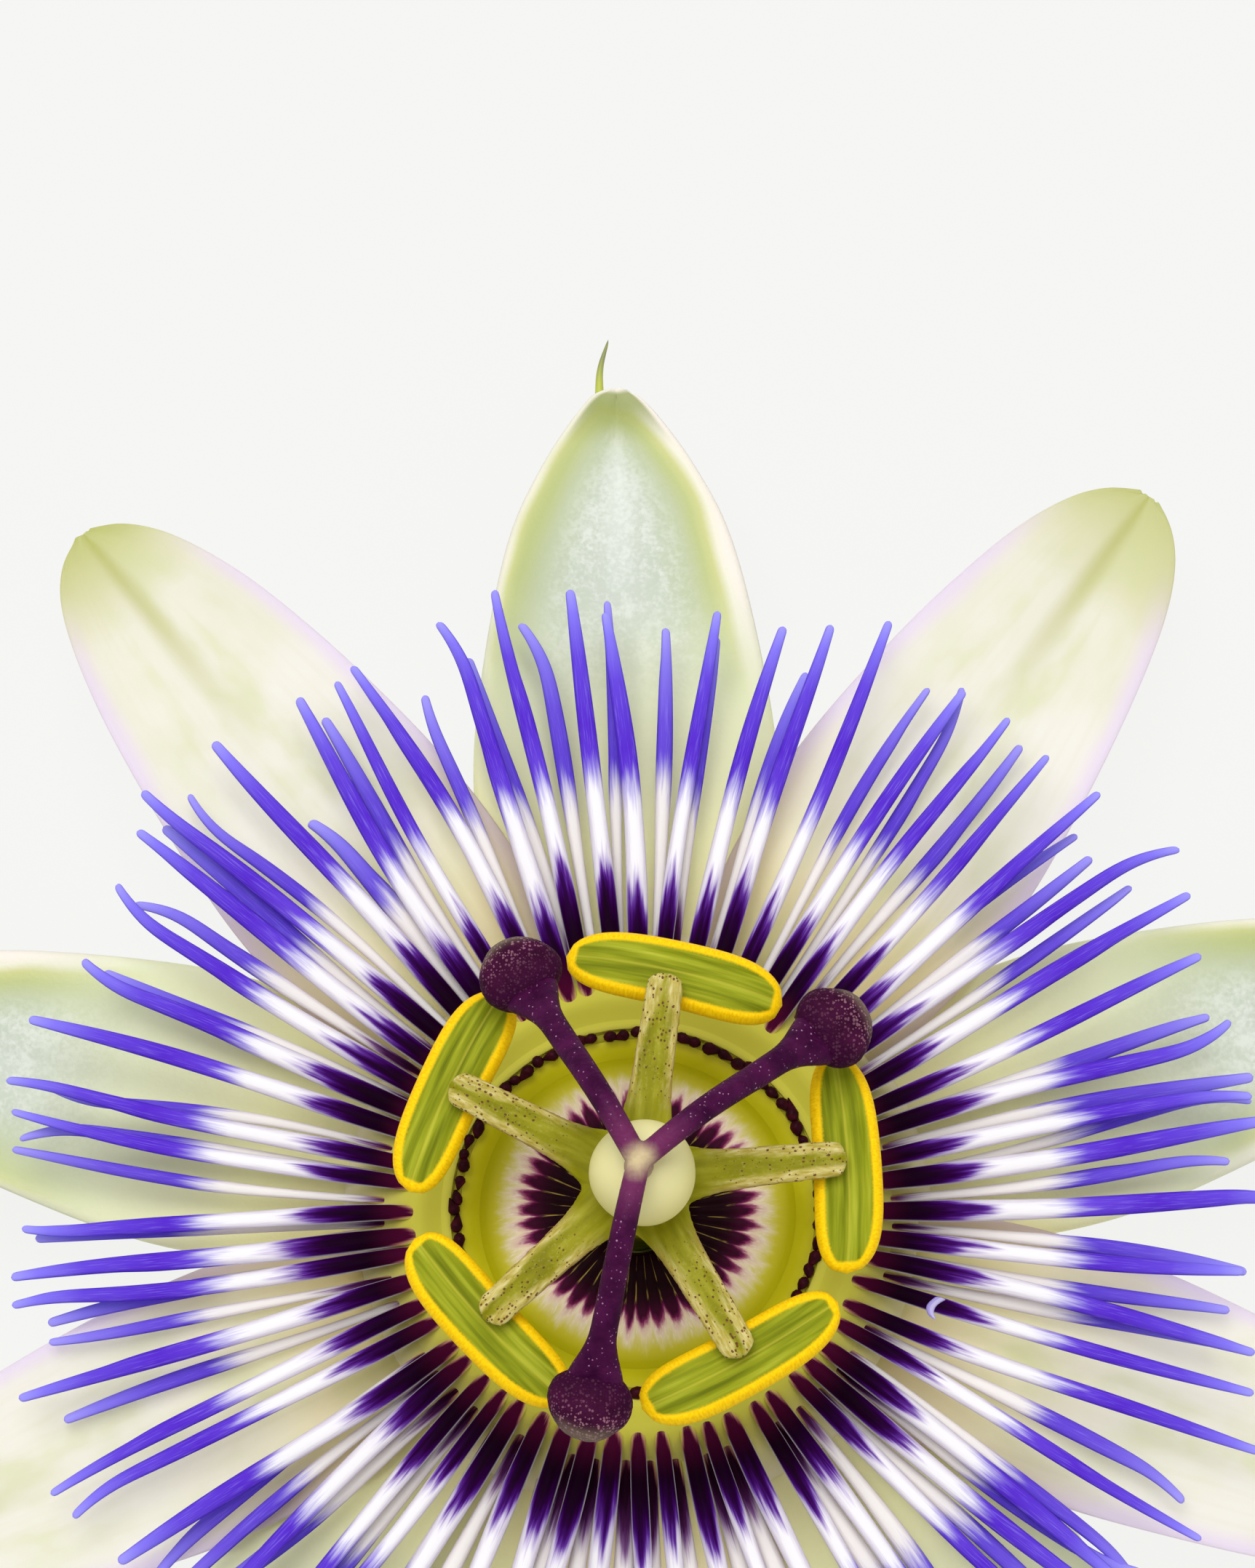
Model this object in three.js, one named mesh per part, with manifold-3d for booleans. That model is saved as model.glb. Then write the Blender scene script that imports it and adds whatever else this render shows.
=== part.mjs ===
// Passion flower, face up, resting on its cut stalk and on the tips of its three bracts.
// Millimetres and degrees, +Z up. Every piece is built round the flower's own upright axis, and the
// whole is then set down with its outline centred over the origin and its lowest points at z = 0.
import * as THREE from "three";
import { mergeVertices } from "three/addons/utils/BufferGeometryUtils.js";
import Module from "manifold-3d";

const wasm = await Module();
wasm.setup();

// Driving dimensions
const seatGap = 0.3; // left between two pieces that touch
const bladeGap = 0.35; // left between two curved blades that lie on each other
const stalk = { radius: 1.3, topRadius: 1.9, height: 4.7 };
const bract = { azimuths: [100, 220, 340], reach: 18, halfWidth: 5.6, thickness: 0.4, footHeight: 3.7 };
const cup = { wallRadius: 8.8, rimRadius: 10.3, rimThickness: 0.7, chamberDepth: 2.9, chamberRadius: 6.2 };
const sepal = { azimuths: [91.5, 165.3, 235, 308, 17.8], reach: 45.6, halfWidth: 7.9, thickness: 0.9 };
const sepalWidths = [1, 0.94, 1, 1, 0.93]; // of each sepal, as a share of the outline's
const awn = { start: 39.5, reach: 48, thickness: 0.8 };
const petal = { azimuths: [55.6, 128.1, 204.2, 272, 340.1], reach: 48.3, halfWidth: 7.3, thickness: 0.5 };
const petalWidths = [1, 1, 0.94, 1, 0.92];
const perianthHeight = 9.9; // of the sepals' middle surface where they leave the cup
const outerRow = { count: 60, reach: 33.6, width: 1.1, thickness: 0.76 };
const secondRow = { count: 52, reach: 30.5, width: 0.8, thickness: 0.66 };
const beadRow = { count: 75, radius: 9.3, beadRadius: 0.36 };
const operculum = { footRadius: 7.0, crestRadius: 6.1, innerRadius: 2.65, thickness: 0.35 };
const column = { radius: 1.55, stamenHeight: 8.5 }; // height above the corona
const stamen = { azimuths: [82, 153.5, 223.5, 300, 5], reach: 10.4, width: 2.2, thickness: 0.85 };
const anther = { twists: [-5, 2, -1, -1, -2], length: 10.7, width: 3.3, thickness: 1.7, bow: 0.35 };
const ovary = { radius: 2.7, height: 5.2 };
const style = { azimuths: [120.6, 36.8, 258.6], reaches: [11.5, 12.1, 11.8], radius: 0.68 };
const stigma = { width: 4.1, length: 3.4, height: 3.0 };

// Heights that follow from them, upwards from the resting surface
const cupBase = stalk.height + seatGap;
const sepalTop = perianthHeight + sepal.thickness / 2;
const petalHeight = sepalTop + bladeGap + petal.thickness / 2;
const rimBase = petalHeight + petal.thickness / 2 + seatGap;
const discHeight = rimBase + cup.rimThickness;
const secondRowHeight = rimBase + cup.rimThickness / 2;
const outerRowHeight = discHeight + seatGap + outerRow.thickness / 2;
const stamenHeight = outerRowHeight + column.stamenHeight;
const ovaryBase = stamenHeight + stamen.thickness / 2 + seatGap;
const styleHeight = ovaryBase + ovary.height + seatGap + style.radius;

const radians = THREE.MathUtils.degToRad;
const flower = new THREE.Group();

function finish(colour, roughness) {
  return new THREE.MeshStandardMaterial({ color: colour, roughness, metalness: 0 });
}

function addPiece(name, geometry, material, azimuth = 0) {
  const mesh = new THREE.Mesh(geometry, material);
  mesh.name = name;
  mesh.rotation.z = radians(azimuth);
  flower.add(mesh);
}

// The geometry with only positions, shared vertices merged, so that it is one closed surface
function closed(geometry) {
  geometry.deleteAttribute("normal");
  geometry.deleteAttribute("uv");
  return mergeVertices(geometry, 1e-4);
}

function solidOf(geometry) {
  const surface = closed(geometry);
  return new wasm.Manifold(
    new wasm.Mesh({
      numProp: 3,
      vertProperties: new Float32Array(surface.getAttribute("position").array),
      triVerts: new Uint32Array(surface.index.array),
    }),
  );
}

function geometryOf(solid) {
  const mesh = solid.getMesh();
  const geometry = new THREE.BufferGeometry();
  geometry.setAttribute("position", new THREE.BufferAttribute(mesh.vertProperties, 3));
  geometry.setIndex(new THREE.BufferAttribute(mesh.triVerts, 1));
  geometry.computeVertexNormals();
  return geometry;
}

function joined(geometries) {
  return geometryOf(geometries.map(solidOf).reduce((whole, next) => whole.add(next)));
}

// A solid of revolution about the flower's axis. The profile runs [radius, height], up the outside.
function turned(profile, steps) {
  const points = profile.map(([radius, height]) => new THREE.Vector2(radius, height));
  return closed(new THREE.LatheGeometry(points, steps).rotateX(Math.PI / 2));
}

// Moves every vertex of a geometry to the point that place(x, y, z) gives
function reshape(geometry, place) {
  const position = geometry.getAttribute("position");
  for (let i = 0; i < position.count; i++) {
    position.setXYZ(i, ...place(position.getX(i), position.getY(i), position.getZ(i)));
  }
  return closed(geometry);
}

// A smooth function through [x, value] points, as a curve over x
function smooth(points) {
  const curve = new THREE.SplineCurve(points.map(([x, value]) => new THREE.Vector2(x, value)));
  return (share) => curve.getPoint(share);
}

// A thin blade that runs outwards along +X. outline gives [distance, half width] from foot to tip,
// rise(distance) its height, and fold how far its edges stand above its middle, per half width. The
// fold grows from foldStart to foldEnd, so that the blade is flat where others lie over it.
function blade({ outline, rise, fold, foldStart, foldEnd, thickness, wide = 1, steps = 12 }) {
  const edge = smooth(outline);
  const slab = new THREE.BoxGeometry(1, 2, thickness, steps, 4, 1);
  return reshape(slab, (x, side, level) => {
    const { x: distance, y: halfWidth } = edge(x + 0.5);
    const lift = fold * side * side * halfWidth * THREE.MathUtils.smoothstep(distance, foldStart, foldEnd);
    return [distance, side * halfWidth * wide, rise(distance) + lift + level];
  });
}

// A bar along an upright-plane curve: stations are [distance, height, width, thickness] along it
function bar(stations, steps, sway = () => 0) {
  const path = smooth(stations.map(([distance, height]) => [distance, height]));
  const size = smooth(stations.map(([, , width, thickness]) => [width, thickness]));
  const box = new THREE.BoxGeometry(1, 1, 1, steps, 1, 1);
  return reshape(box, (x, side, level) => {
    const share = x + 0.5;
    const { x: distance, y: height } = path(share);
    const { x: width, y: thickness } = size(share);
    return [distance, sway(share) + side * width, height + level * thickness];
  });
}

// Peduncle: the cut end of the stalk, swollen where the bracts and the flower leave it
addPiece(
  "peduncle",
  turned(
    [
      [0, 0],
      [stalk.radius, 0],
      [stalk.radius, 2.6],
      [stalk.topRadius, stalk.height - 0.5],
      [stalk.topRadius - 0.2, stalk.height],
      [0, stalk.height],
    ],
    16,
  ),
  finish(0x8fa552, 0.6),
);

// Bracts: three leaves that arch from the top of the stalk down to the resting surface
bract.azimuths.forEach((azimuth, i) => {
  const foot = stalk.topRadius + seatGap;
  const span = bract.reach - foot;
  addPiece(
    `bract_${i + 1}`,
    blade({
      outline: [
        [foot, 1.3],
        [foot + 0.18 * span, 0.72 * bract.halfWidth],
        [foot + 0.42 * span, bract.halfWidth],
        [foot + 0.7 * span, 0.72 * bract.halfWidth],
        [foot + 0.9 * span, 0.28 * bract.halfWidth],
        [bract.reach, 0.2],
      ],
      rise: (distance) => {
        const share = (distance - foot) / span;
        const fall = THREE.MathUtils.smootherstep(share, 0.12, 1);
        return bract.footHeight * (1 - fall) + (bract.thickness / 2) * fall;
      },
      fold: 0.25,
      foldStart: foot,
      foldEnd: 0.5 * bract.reach,
      thickness: bract.thickness,
      steps: 10,
    }),
    finish(0x7f9f4a, 0.6),
    azimuth,
  );
});

// Floral cup: bowl, rim and disc, with the nectar groove round the low collar that holds the column
const chamberFloor = discHeight - cup.chamberDepth;
const collarRadius = column.radius + seatGap + 0.35;
addPiece(
  "floral_cup",
  turned(
    [
      [0, cupBase],
      [2.2, cupBase],
      [4.9, cupBase + 0.8],
      [7.3, cupBase + 2.3],
      [8.5, cupBase + 3.9],
      [cup.wallRadius, cupBase + 5.3],
      [cup.wallRadius, rimBase],
      [cup.rimRadius, rimBase],
      [cup.rimRadius, discHeight],
      [cup.chamberRadius + 0.5, discHeight],
      [cup.chamberRadius, discHeight - 0.4],
      [cup.chamberRadius - 0.6, chamberFloor + 0.2],
      [cup.chamberRadius - 1, chamberFloor],
      [collarRadius + 0.4, chamberFloor],
      [collarRadius, discHeight - 0.1],
      [column.radius + seatGap, discHeight - 0.1],
      [column.radius + seatGap, chamberFloor - seatGap],
      [0, chamberFloor - seatGap],
    ],
    32,
  ),
  finish(0xb9c25a, 0.55),
);

// Sepals: broad, thick, slightly hooded, each with an awn that leaves its back below the tip
const sepalFoot = cup.wallRadius + seatGap;
function sepalRise(droop) {
  return (distance) => {
    const share = (distance - sepalFoot) / (sepal.reach - sepalFoot);
    return perianthHeight - droop * share * share;
  };
}
sepal.azimuths.forEach((azimuth, i) => {
  const droop = 4.2 + 0.5 * Math.sin(2.1 * i);
  const rise = sepalRise(droop);
  const leaf = blade({
    outline: [
      [sepalFoot, 4.6],
      [14, 6.4],
      [19.5, 7.6],
      [25, sepal.halfWidth],
      [31.5, 6.9],
      [37.4, 5.65],
      [41, 4.1],
      [43.8, 2.3],
      [sepal.reach, 0.6],
    ],
    rise,
    fold: 0.09,
    foldStart: 26,
    foldEnd: 36,
    wide: sepalWidths[i],
    thickness: sepal.thickness,
  });
  const side = 0.9 * Math.cos(2.2 * i);
  const spur = bar(
    [
      [awn.start, rise(awn.start) - 0.55, awn.thickness, awn.thickness],
      [awn.start + 3, rise(awn.start + 3) - 0.7, awn.thickness, awn.thickness],
      [sepal.reach - 0.4, rise(sepal.reach) - 0.3, 0.7 * awn.thickness, 0.7 * awn.thickness],
      [awn.reach, rise(sepal.reach) + 0.2, 0.25 * awn.thickness, 0.25 * awn.thickness],
    ],
    6,
    (share) => side * (1 - 0.8 * share * share),
  );
  addPiece(`sepal_${i + 1}`, joined([leaf, spur]), finish(0xc9d8c8, 0.5), azimuth);
});

// Petals: oblong, thin and blunt, above the sepals and over their edges
const petalFoot = cup.wallRadius + seatGap;
petal.azimuths.forEach((azimuth, i) => {
  const droop = 3.6 + 0.5 * Math.sin(1.7 * i + 1);
  const reach = petal.reach - 0.7 * Math.sin(1.6 * i) ** 2;
  addPiece(
    `petal_${i + 1}`,
    blade({
      outline: [
        [petalFoot, 4.0],
        [13.5, 5.7],
        [19, 7.0],
        [25, petal.halfWidth],
        [31, 6.8],
        [37, 5.9],
        [reach - 6.2, 4.8],
        [reach - 3, 3.6],
        [reach - 0.9, 1.8],
        [reach, 0.6],
      ],
      rise: (distance) => {
        const share = (distance - petalFoot) / (reach - petalFoot);
        return petalHeight - droop * share * share;
      },
      fold: 0.12,
      foldStart: 24,
      foldEnd: 36,
      wide: petalWidths[i],
      thickness: petal.thickness,
    }),
    finish(0xf4f2e6, 0.5),
    azimuth,
  );
});

// A corona row: filaments that spread from one ring of tissue. Each leans, sways and ends in its own way.
function coronaRow({ row, height, ringInner, ringOuter, ringThickness, sag, seed }) {
  const ring = turned(
    [
      [ringInner, height - ringThickness / 2],
      [ringOuter, height - ringThickness / 2],
      [ringOuter, height + ringThickness / 2],
      [ringInner, height + ringThickness / 2],
      [ringInner, height - ringThickness / 2],
    ],
    row.count,
  );
  const foot = ringInner + 0.4;
  const filaments = Array.from({ length: row.count }, (_, i) => {
    const lean = 1.1 * Math.sin(2.3 * i + seed) + 0.5 * Math.sin(5.1 * i);
    const reach = row.reach - 1.9 * Math.sin(3.7 * i + seed) ** 2;
    const bend = 0.7 * Math.sin(1.7 * i + 0.5);
    const filament = bar(
      [
        [foot, height, 0.72 * row.width, 0.9 * row.thickness],
        [foot + 0.3 * (reach - foot), height + 0.05, row.width, row.thickness],
        [foot + 0.65 * (reach - foot), height + 0.05 - 0.3 * sag, row.width, row.thickness],
        [reach, height - sag, 0.45 * row.width, 0.5 * row.thickness],
      ],
      4,
      (share) => bend * share * share,
    );
    return filament.rotateZ(radians((360 * i) / row.count + lean));
  });
  return joined([ring, ...filaments]);
}

addPiece(
  "corona_second",
  coronaRow({
    row: secondRow,
    height: secondRowHeight,
    ringInner: cup.rimRadius + seatGap,
    ringOuter: cup.rimRadius + seatGap + 1,
    ringThickness: secondRow.thickness,
    sag: 0.5,
    seed: 2,
  }),
  finish(0xe4dfe0, 0.5),
);
addPiece(
  "corona_outer",
  coronaRow({
    row: outerRow,
    height: outerRowHeight,
    ringInner: cup.rimRadius - seatGap,
    ringOuter: cup.rimRadius + 0.9,
    ringThickness: 0.7,
    sag: 0.3,
    seed: 0,
  }),
  finish(0x4b36c4, 0.45),
);

// Inner corona row: very short filaments with round heads, on a thin ring of their own
const beadFoot = discHeight + seatGap;
const beadRing = turned(
  [
    [beadRow.radius - 0.2, beadFoot],
    [beadRow.radius + 0.2, beadFoot],
    [beadRow.radius + 0.15, beadFoot + 0.3],
    [beadRow.radius - 0.15, beadFoot + 0.3],
    [beadRow.radius - 0.2, beadFoot],
  ],
  beadRow.count,
);
const beads = Array.from({ length: beadRow.count }, (_, i) =>
  new THREE.OctahedronGeometry(beadRow.beadRadius, 0)
    .translate(beadRow.radius, 0, beadFoot + 0.3 + 0.7 * beadRow.beadRadius)
    .rotateZ(radians((360 * (i + 0.5)) / beadRow.count)),
);
addPiece("corona_inner", joined([beadRing, ...beads]), finish(0x43081f, 0.35));

// Operculum: a membrane that rises from the disc to a rounded crest and runs in over the nectar groove
const membrane = operculum.thickness;
const operculumFoot = discHeight + seatGap;
addPiece(
  "operculum",
  turned(
    [
      [operculum.innerRadius, operculumFoot],
      [operculum.crestRadius - 0.5, operculumFoot + 0.25],
      [operculum.footRadius - 0.4, operculumFoot],
      [operculum.footRadius, operculumFoot],
      [operculum.crestRadius + 0.45, operculumFoot + 0.65],
      [operculum.crestRadius, operculumFoot + 0.85],
      [operculum.crestRadius - 0.6, operculumFoot + 0.25 + membrane],
      [operculum.innerRadius, operculumFoot + membrane],
      [operculum.innerRadius, operculumFoot],
    ],
    30,
  ),
  finish(0x5b1a4a, 0.45),
);

// Androgynophore: the column, its webbed head and the five stamen filaments, grown as one piece
const stem = turned(
  [
    [0, chamberFloor],
    [column.radius, chamberFloor],
    [column.radius - 0.2, chamberFloor + 3.5],
    [column.radius - 0.15, stamenHeight - 2],
    [column.radius + 0.9, stamenHeight - 0.4],
    [column.radius + 1.1, stamenHeight + 0.1],
    [column.radius + 0.7, stamenHeight + stamen.thickness / 2],
    [0, stamenHeight + stamen.thickness / 2],
  ],
  20,
);
const stamenTipHeight = stamenHeight + 0.7;
const stamenTipThickness = 0.85 * stamen.thickness;
const stamenBars = stamen.azimuths.map((azimuth) =>
  bar(
    [
      [0.8, stamenHeight - 0.1, stamen.width + 0.3, stamen.thickness],
      [4, stamenHeight + 0.15, stamen.width, 0.95 * stamen.thickness],
      [8, stamenHeight + 0.55, 0.94 * stamen.width, 0.9 * stamen.thickness],
      [stamen.reach, stamenTipHeight, 0.84 * stamen.width, stamenTipThickness],
    ],
    5,
  ).rotateZ(radians(azimuth)),
);
addPiece("androgynophore", joined([stem, ...stamenBars]), finish(0xa8ae2e, 0.5));

// Anthers: flattened pods, hung crosswise under the tips of the filaments and bowed a little inwards
const antherHeight = stamenTipHeight - stamenTipThickness / 2 - seatGap - anther.thickness / 2;
stamen.azimuths.forEach((azimuth, i) => {
  const straight = 4;
  const halfPod = straight / 2 + 1; // half the length of the plain capsule, of radius 1
  const pod = new THREE.CapsuleGeometry(1, straight, 3, 10, 3);
  const shaped = reshape(pod, (x, y, z) => {
    const along = y / halfPod;
    const outwards = anther.bow * (1 - along * along) - anther.bow / 2;
    return [(x * anther.width) / 2 + outwards, (along * anther.length) / 2, (z * anther.thickness) / 2];
  });
  shaped.rotateZ(radians(anther.twists[i])).translate(stamen.reach - 0.1, 0, antherHeight);
  addPiece(`anther_${i + 1}`, shaped, finish(0x9cad34, 0.5), azimuth);
});

// Ovary: an egg, widest below its middle
addPiece(
  "ovary",
  turned(
    [
      [0, ovaryBase],
      [1.6, ovaryBase],
      [0.93 * ovary.radius, ovaryBase + 0.17 * ovary.height],
      [ovary.radius, ovaryBase + 0.36 * ovary.height],
      [0.93 * ovary.radius, ovaryBase + 0.58 * ovary.height],
      [0.68 * ovary.radius, ovaryBase + 0.8 * ovary.height],
      [0.36 * ovary.radius, ovaryBase + 0.94 * ovary.height],
      [0, ovaryBase + ovary.height],
    ],
    20,
  ),
  finish(0xe9edbe, 0.4),
);

// Styles: three tapered rods that leave one foot on the ovary, arch outwards and droop
function styleHeightAt(share) {
  return styleHeight + 0.7 * Math.sin(Math.PI * Math.min(1, 1.6 * share)) - 4.4 * share ** 2.2;
}
const styleFoot = new THREE.SphereGeometry(1.25 * style.radius, 10, 6).translate(0, 0, styleHeight);
const styleRods = style.azimuths.map((azimuth, i) => {
  const end = style.reaches[i] - stigma.length / 2 - seatGap;
  const rod = new THREE.CylinderGeometry(1, 1, 1, 8, 7);
  return reshape(rod, (x, y, z) => {
    const share = y + 0.5;
    const radius = style.radius * (0.92 + 0.22 * share);
    return [share * end, z * radius, styleHeightAt(share) + x * radius];
  }).rotateZ(radians(azimuth));
});
addPiece("styles", joined([styleFoot, ...styleRods]), finish(0x5a1a5c, 0.45));

// Stigmas: kidney-shaped knobs at the ends of the styles
style.azimuths.forEach((azimuth, i) => {
  const knob = new THREE.SphereGeometry(1, 12, 8);
  addPiece(
    `stigma_${i + 1}`,
    reshape(knob, (x, y, z) => {
      const notch = 0.12 * Math.max(0, -x) * (1 - y * y);
      return [
        style.reaches[i] + (x * (1 - notch) * stigma.length) / 2,
        (y * stigma.width) / 2,
        styleHeightAt(1) - 0.4 + (z * stigma.height) / 2,
      ];
    }),
    finish(0x4a1f3e, 0.6),
    azimuth,
  );
});

// Sets the flower down: outline centred over the origin, lowest points on z = 0
flower.updateMatrixWorld(true);
const outline = new THREE.Box3().setFromObject(flower, true);
const middle = outline.getCenter(new THREE.Vector3());
flower.position.set(-middle.x, -middle.y, -outline.min.z);

export default flower;
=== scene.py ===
import random
from functools import partial
from math import atan2, copysign, cos, exp, pi, radians, sin, tau

import bmesh
import bpy
from mathutils import Matrix, Vector, noise


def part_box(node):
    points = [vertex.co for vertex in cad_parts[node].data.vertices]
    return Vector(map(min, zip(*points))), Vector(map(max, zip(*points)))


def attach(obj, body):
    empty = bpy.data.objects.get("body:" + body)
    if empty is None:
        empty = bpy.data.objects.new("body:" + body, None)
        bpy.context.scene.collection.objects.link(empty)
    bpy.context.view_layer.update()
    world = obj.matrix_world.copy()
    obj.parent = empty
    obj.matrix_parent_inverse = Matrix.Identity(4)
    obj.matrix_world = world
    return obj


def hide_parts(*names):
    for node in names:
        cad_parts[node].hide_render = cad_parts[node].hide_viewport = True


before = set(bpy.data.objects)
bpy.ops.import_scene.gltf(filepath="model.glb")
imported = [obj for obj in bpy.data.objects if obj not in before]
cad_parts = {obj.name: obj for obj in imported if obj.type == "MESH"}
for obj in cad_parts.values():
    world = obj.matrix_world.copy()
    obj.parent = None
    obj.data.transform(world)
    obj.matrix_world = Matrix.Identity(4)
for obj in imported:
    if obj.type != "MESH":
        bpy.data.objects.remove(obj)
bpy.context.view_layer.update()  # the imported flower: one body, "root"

mm = 0.001
cupLow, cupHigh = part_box("floral_cup")
flowerAxis = ((cupLow + cupHigh) / 2).to_2d().to_3d()
discTop = cupHigh.z / mm  # heights are in mm above the table
sepalLevel = discTop - 2.3
petalLevel = discTop - 1.25
rng = random.Random(11)
print("frame loaded, flower axis at", [round(c / mm, 2) for c in flowerAxis])


def linear(hexColour):
    channels = [int(hexColour[i:i + 2], 16) / 255 for i in (1, 3, 5)]
    return [c / 12.92 if c <= 0.04045 else ((c + 0.055) / 1.055) ** 2.4 for c in channels] + [1]


def output(value):  # a node stands for its first output in use
    return next(s for s in value.outputs if s.enabled) if isinstance(value, bpy.types.Node) else value


def addNode(tree, kind, *values, **settings):  # plain values fill the sockets in order
    node = tree.nodes.new("ShaderNode" + kind)
    named = {name: settings.pop(name) for name in list(settings) if name[0].isupper()}
    for name, value in {**usual.get(kind, {}), **settings}.items():
        setattr(node, name, value)
    if kind == "ValToRGB":  # the last value holds the ramp's places and colours
        ramp, stops = node.color_ramp, values[-1]
        while len(ramp.elements) < len(stops):
            ramp.elements.new(0.5)
        for element, (place, colour) in zip(ramp.elements, stops.items()):
            element.position = place
            element.color = linear(colour)
    given = list(zip([s for s in node.inputs if s.enabled], values))
    given += [(node.inputs[name], value) for name, value in named.items()]
    for socket, value in given:
        value = output(value)
        if isinstance(value, bpy.types.NodeSocket):
            tree.links.new(value, socket)
        else:
            socket.default_value = linear(value) if isinstance(value, str) else value
    return node


# settings that most nodes of a kind, or many nodes, share
usual = {"MapRange": {"interpolation_type": "SMOOTHSTEP"}, "Mix": {"data_type": "RGBA"}}
straight = {"interpolation_type": "LINEAR"}
plus = {"operation": "ADD"}
minus = {"operation": "SUBTRACT"}
times = {"operation": "MULTIPLY"}
timesPlus = {"operation": "MULTIPLY_ADD"}
absolute = {"operation": "ABSOLUTE"}


def newMaterial(name, roughness, specular=0.5, ior=1.42, **more):
    material = bpy.data.materials.new(name)
    material.use_nodes = True
    sockets = material.node_tree.nodes["Principled BSDF"].inputs
    finish = {"Roughness": roughness, "IOR": ior, "Specular IOR Level": specular, **more}
    for socket, value in finish.items():
        sockets[socket].default_value = value
    return material, partial(addNode, material.node_tree)


def readGrain(add, name="grain"):  # coordinates that a mesh carries: the vector, then its three numbers
    grain = add("Attribute", attribute_name=name).outputs["Vector"]
    return grain, *add("SeparateXYZ", grain).outputs[:3]


def readAxis(add):  # the place from the flower's axis, the same laid flat, and its length
    centred = add("Mapping", add("TexCoord").outputs["Object"], Location=-flowerAxis)
    flat = add("VectorMath", centred, (1, 1, 0), **times)
    return centred, flat, add("VectorMath", flat, operation="LENGTH").outputs["Value"]


def finishSkin(skin, colour, height=None, strength=0, depth=0, roughness=None, through=0):
    tree = skin.node_tree
    shader = tree.nodes["Principled BSDF"]
    tree.links.new(output(colour), shader.inputs["Base Color"])
    if height:  # a fine relief, its depth in mm
        bump = addNode(tree, "Bump", Strength=strength, Distance=depth * mm, Height=height)
        tree.links.new(bump.outputs[0], shader.inputs["Normal"])
    if roughness:
        tree.links.new(roughness.outputs[0], shader.inputs["Roughness"])
    if through:  # the share of light that passes through thin tissue
        passed = addNode(tree, "BsdfTranslucent", colour)
        both = addNode(tree, "MixShader", through, shader, passed)
        tree.links.new(both.outputs[0], tree.nodes["Material Output"].inputs["Surface"])


def curveAt(points, share):  # a smooth curve through the points, share from 0 to 1
    spans = len(points) - 1
    place = min(max(share, 0), 1) * spans
    i = min(int(place), spans - 1)
    t = place - i
    near = (points[max(i - 1, 0)], points[i], points[i + 1], points[min(i + 2, spans)])
    return [
        0.5 * (2 * b + (c - a) * t + (2 * a - 5 * b + 4 * c - d) * t * t + (3 * b - a - 3 * c + d) * t ** 3)
        for a, b, c, d in zip(*near)
    ]


def ease(low, high, value):
    t = min(max((value - low) / (high - low), 0), 1)
    return t * t * (3 - 2 * t)


def toMesh(bm, name):  # hands the shape over and lets go of the bmesh
    mesh = bpy.data.meshes.new(name)
    bm.to_mesh(mesh)
    bm.free()
    return mesh


def toScene(name, data):
    made = bpy.data.objects.new(name, data)
    bpy.context.scene.collection.objects.link(made)
    return made


def finishPiece(name, bm, nodes, material, azimuth=0, subdivisions=0, thickness=0):
    bmesh.ops.remove_doubles(bm, verts=bm.verts, dist=1e-4)
    bmesh.ops.recalc_face_normals(bm, faces=bm.faces)
    turn = Matrix.Rotation(radians(azimuth), 4, "Z")
    place = Matrix.Translation(flowerAxis) @ turn @ Matrix.Scale(mm, 4)
    bmesh.ops.transform(bm, matrix=place, verts=bm.verts)
    mesh = toMesh(bm, name)
    for polygon in mesh.polygons:
        polygon.use_smooth = True
    mesh.materials.append(material)
    piece = toScene(name, mesh)
    if thickness:
        wall = piece.modifiers.new("Solidify", "SOLIDIFY")
        wall.thickness = thickness * mm
        wall.offset = 0
        wall.use_rim = True
    if subdivisions:
        finer = piece.modifiers.new("Subdivision", "SUBSURF")
        finer.levels = subdivisions
        finer.render_levels = subdivisions
    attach(piece, "root")
    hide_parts(*nodes)


def layer(bm, name):
    layers = bm.verts.layers.float_vector
    return layers.get(name) or layers.new(name)


def turnAll(bm, verts, angle):
    bmesh.ops.rotate(bm, cent=(0, 0, 0), matrix=Matrix.Rotation(angle, 3, "Z"), verts=verts)


def spun(steps, profile, level=0,
    tall=1):  # turned about the axis; the profile is [radius, height over level]
    bm = bmesh.new()
    verts = [bm.verts.new((radius, 0, level + tall * height)) for radius, height in profile]
    edges = [bm.edges.new(pair) for pair in zip(verts, verts[1:])]
    bmesh.ops.spin(bm, geom=verts + edges, cent=(0, 0, 0), axis=(0, 0, 1), angle=tau,
                   steps=steps, use_merge=True)
    bmesh.ops.remove_doubles(bm, verts=bm.verts, dist=1e-4)
    return bm


def rod(rings, segments):  # a plain closed cylinder along z from 0 to 1, radius 1, cut into rings
    bm = bmesh.new()
    bmesh.ops.create_cone(bm, cap_ends=True, cap_tris=True, segments=segments, radius1=1, radius2=1,
                          depth=1)
    long = [e for e in bm.edges if abs(e.verts[0].co.z - e.verts[1].co.z) > 0.5]
    bmesh.ops.subdivide_edges(bm, edges=long, cuts=rings - 1)
    bmesh.ops.translate(bm, vec=(0, 0, 0.5), verts=bm.verts)
    return bm


def shapeRod(bm, verts, place):  # place(share, side, up) gives the new spot and the grain
    grain = layer(bm, "grain")
    for v in verts:
        spot, v[grain] = place(min(max(v.co.z, 0), 1), v.co.x, v.co.y)
        v.co = spot


def addCopy(bm, mesh):
    known = set(bm.verts)
    bm.from_mesh(mesh)
    return [v for v in bm.verts if v not in known]


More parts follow.
